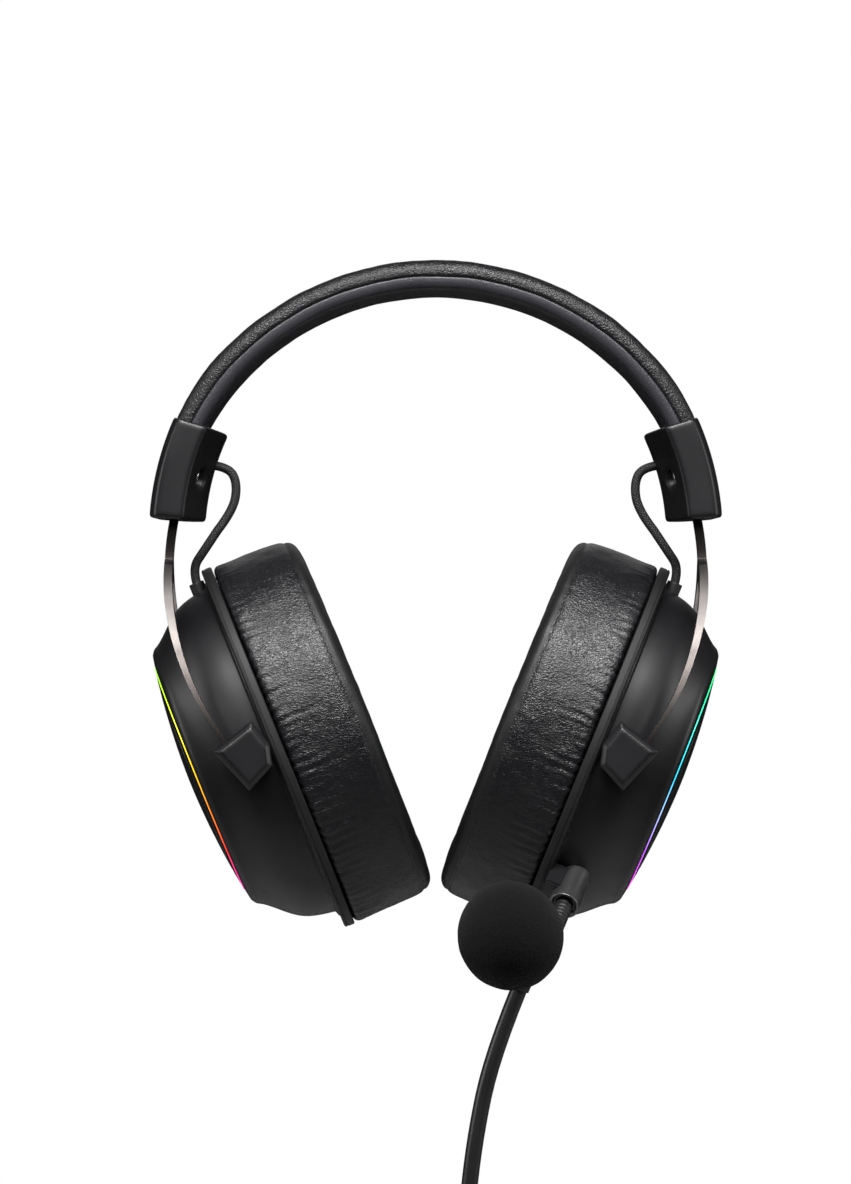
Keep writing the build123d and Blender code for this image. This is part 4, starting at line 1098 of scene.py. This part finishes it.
def cut_controls(shell):
    """Cuts the wheel's slot and the button's hole through the right shell."""
    for node, grow in (("volume_wheel", 1.03), ("mute_button", 1.04)):
        source = frame["nodes"][node].data
        bm = bmesh.new()
        bm.from_mesh(source)
        hull = bmesh.ops.convex_hull(bm, input=bm.verts)
        spare = [g for g in hull["geom_interior"] + hull["geom_unused"] if isinstance(g, bmesh.types.BMVert)]
        bmesh.ops.delete(bm, geom=spare, context="VERTS")
        mesh = bpy.data.meshes.new("cutter")
        bm.to_mesh(mesh)
        bm.free()
        low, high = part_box(node)
        centre = (low + high) / 2
        mesh.transform(Matrix.Translation(centre) @ Matrix.Scale(grow, 4) @ Matrix.Translation(-centre))
        cutter = placed("cutter", mesh)
        cut = shell.modifiers.new("cut", "BOOLEAN")
        cut.operation = "DIFFERENCE"
        cut.solver = "EXACT"
        cut.object = cutter
        applied(shell)
        bpy.data.objects.remove(cutter)
        bpy.data.meshes.remove(mesh)


def make_plates():
    """The outer plate: a shallow dome with a turned groove inside its rim."""
    rows = []
    for share, drop, crease in [
        (1.0, 3.0, 0.9), (1.0, 0.35, 0.6), (0.985, 0.05, 0.3), (0.93, 0.0, 0.0), (0.885, 0.0, 0.6),
        (0.875, 0.35, 0.6), (0.845, 0.35, 0.6), (0.835, 0.0, 0.6), (0.7, 0.0, 0.0), (0.45, 0.0, 0.0),
        (0.2, 0.0, 0.0), (0.05, 0.0, 0.0),
    ]:
        a, b = PLATE_HALF_LENGTH * share, PLATE_HALF_WIDTH * share
        reach = (a + b) / 2
        dome = DOME_TOP - DOME_RADIUS + sqrt(DOME_RADIUS**2 - reach**2)
        rows.append((dome - drop, a, b, crease))
    rows.insert(0, (FACE_FLOOR + 1.2, PLATE_HALF_LENGTH, PLATE_HALF_WIDTH, 0.9))
    plate = oval_piece("plate_left", rows, "plate_plastic", 96, 2)
    settle_pair(plate, twin(plate), "plate_plastic", "outer_plate")


def make_lights():
    """The light pipe shows as a thin line between the shell's rim and the outer plate."""
    foot, edge = FACE_FLOOR + 1.3, LIGHT_TOP - 0.1
    rows = [
        (foot, 33.05, 29.05, 0.9), (edge, 33.05, 29.05, 0.6), (LIGHT_TOP, 33.2, 29.2, 0.5),
        (LIGHT_TOP, 34.0, 30.0, 0.5), (edge, 34.15, 30.15, 0.6), (foot, 34.15, 30.15, 0.9),
    ]
    ring = oval_piece("light_line_left", rows, "light_left", 128, 1, ring=True)
    right = twin(ring)
    right.data.materials[0] = LOOKS["light_right"]
    settle_pair(ring, right, "light_left", "light_ring")


def make_flanges():
    """The ring that the cushion is fixed to, whose rim stands up round the shell's foot."""
    rows = [
        (-1.2, 46.0, 37.5, 0.9), (-1.2, 54.5, 44.3, 0.6), (-0.95, 54.9, 44.7, 0.6),
        (0.75, 54.9, 44.7, 0.7), (0.85, 54.7, 44.5, 0.7), (1.05, 54.7, 44.5, 0.7), (1.15, 54.9, 44.7, 0.7),
        (1.6, 54.8, 44.6, 0.6), (1.9, 54.4, 44.2, 0.6), (1.9, 51.65, 43.15, 0.9),
        (0.02, 51.65, 43.15, 0.9), (0.02, 46.0, 37.5, 0.9),
    ]
    ring = oval_piece("flange_left", rows, "flange_plastic", 96, 2, ring=True)
    settle_pair(ring, twin(ring), "frame_plastic", "cushion_ring")


def make_ear_meshes():
    """The cloth stretched over the baffle inside the ear opening."""
    rows = [
        (-0.15, 45.6, 37.1, 0.9), (-0.75, 45.6, 37.1, 0.9), (-0.8, 40, 32, 0.0), (-1.1, 30, 24, 0.0),
        (-1.35, 16, 12, 0.0), (-1.4, 4, 3, 0.0),
    ]
    cloth = oval_piece("speaker_cloth_left", rows, "ear_mesh", 64, 1)
    for piece in settle_pair(cloth, twin(cloth), "ear_mesh", "ear_mesh"):
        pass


# ---- microphone and controls
def make_boom():
    """The ringed gooseneck: a short straight part in its socket, then an arc."""
    start = MIC_MOUTH - MIC_AXIS * 5
    chord = NECK_END - NECK_BEND
    half = MIC_AXIS.angle(chord)
    reach = chord.length / (2 * sin(half))
    inward = (chord - MIC_AXIS * chord.dot(MIC_AXIS)).normalized()
    line = [start.lerp(NECK_BEND, k / 12) for k in range(12)]
    for k in range(NECK_STEPS + 1):
        turn = 2 * half * k / NECK_STEPS
        line.append(NECK_BEND + MIC_AXIS * reach * sin(turn) + inward * reach * (1 - cos(turn)))

    def ringed(run):
        return NECK_RADIUS - NECK_GROOVE * (0.5 + 0.5 * cos(2 * pi * run / NECK_PITCH))

    neck = tube("boom", [p * MM for p in line], ringed, "gooseneck", 24)
    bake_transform(neck)
    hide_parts("mic_gooseneck")


def make_windscreen():
    """The foam ball round the capsule, slightly uneven and longer than it is wide."""
    chord = (NECK_END - NECK_BEND).normalized()
    axis = chord * (2 * MIC_AXIS.dot(chord)) - MIC_AXIS
    centre = NECK_END + axis * (CAPSULE_LENGTH / 2)
    side = axis.orthogonal().normalized()
    other = axis.cross(side)
    rows, columns, points = 72, 96, []
    for i in range(1, rows):
        lean = pi * i / rows
        for k in range(columns):
            turn = 2 * pi * k / columns
            across = FOAM_RADIUS * sin(lean)
            place = axis * (-FOAM_HALF_LENGTH * cos(lean)) + (side * cos(turn) + other * sin(turn)) * across
            lump = 0.12 * noise.noise(place * 0.16) + 0.05 * noise.noise(place * 0.9) - 0.08
            points.append(centre + place + place.normalized() * lump)
    faces = grid(rows - 1, columns) + end_faces(rows - 1, columns)
    ball = add_mesh("wind_foam", points, faces, "mic_foam", 180)
    settle(ball, "mic_head", "mic_foam", "mic_foam")


def make_boom_foot():
    """The moulded foot of the socket, which comes out of the shell beside the flange."""
    foot = bmesh.new()
    bmesh.ops.create_cube(foot, size=1.0)
    bmesh.ops.subdivide_edges(foot, edges=foot.edges, cuts=2, use_grid_fill=True)
    bmesh.ops.bevel(foot, geom=foot.edges, offset=0.06, segments=2, affect="EDGES", clamp_overlap=True)
    across = MIC_AXIS.cross(RIGHT_OUTWARD).normalized()
    turn = Matrix((RIGHT_OUTWARD, across, MIC_AXIS)).transposed().to_4x4()
    middle = MIC_MOUTH - MIC_AXIS * FOOT_BACK - RIGHT_OUTWARD * FOOT_INWARD
    size = Matrix.Diagonal((*FOOT_SIZE, 1))
    bmesh.ops.transform(foot, matrix=Matrix.Translation(middle) @ turn @ size, verts=foot.verts)
    bmesh.ops.scale(foot, vec=(MM, MM, MM), verts=foot.verts)
    mesh = bpy.data.meshes.new("boom_foot")
    foot.to_mesh(mesh)
    foot.free()
    settle(finish_mesh("boom_foot", mesh, "shell_plastic"), "cup_right", "shell_plastic")


def make_microphone():
    make_boom()
    make_windscreen()
    dress("mic_socket", "boom_socket", "mic_metal", 0.3, "cup_right", segments=3)
    make_boom_foot()
    dress("mic_ferrule", "boom_ferrule", "mic_metal", 0.25, "mic_arm")


def make_controls():
    dress("volume_wheel", "wheel", "controls", 0.12, "volume_wheel")
    dress("mute_button", "button", "controls", 0.1, "mute_button")


# ---- the whole object
set_camera()
set_backdrop()
set_lights()
set_floor()
make_cable()
make_strain_relief()
make_link_cables()
make_headband()
make_housings()
make_yokes()
make_cushions()
make_cups()
make_plates()
make_lights()
make_flanges()
make_ear_meshes()
make_microphone()
make_controls()

# The CAD nodes that stay get the material of their slot.
for node, piece in frame["nodes"].items():
    if not piece.hide_render:
        piece.data.materials.clear()
        piece.data.materials.append(LOOKS[SLOT_OF[node]])
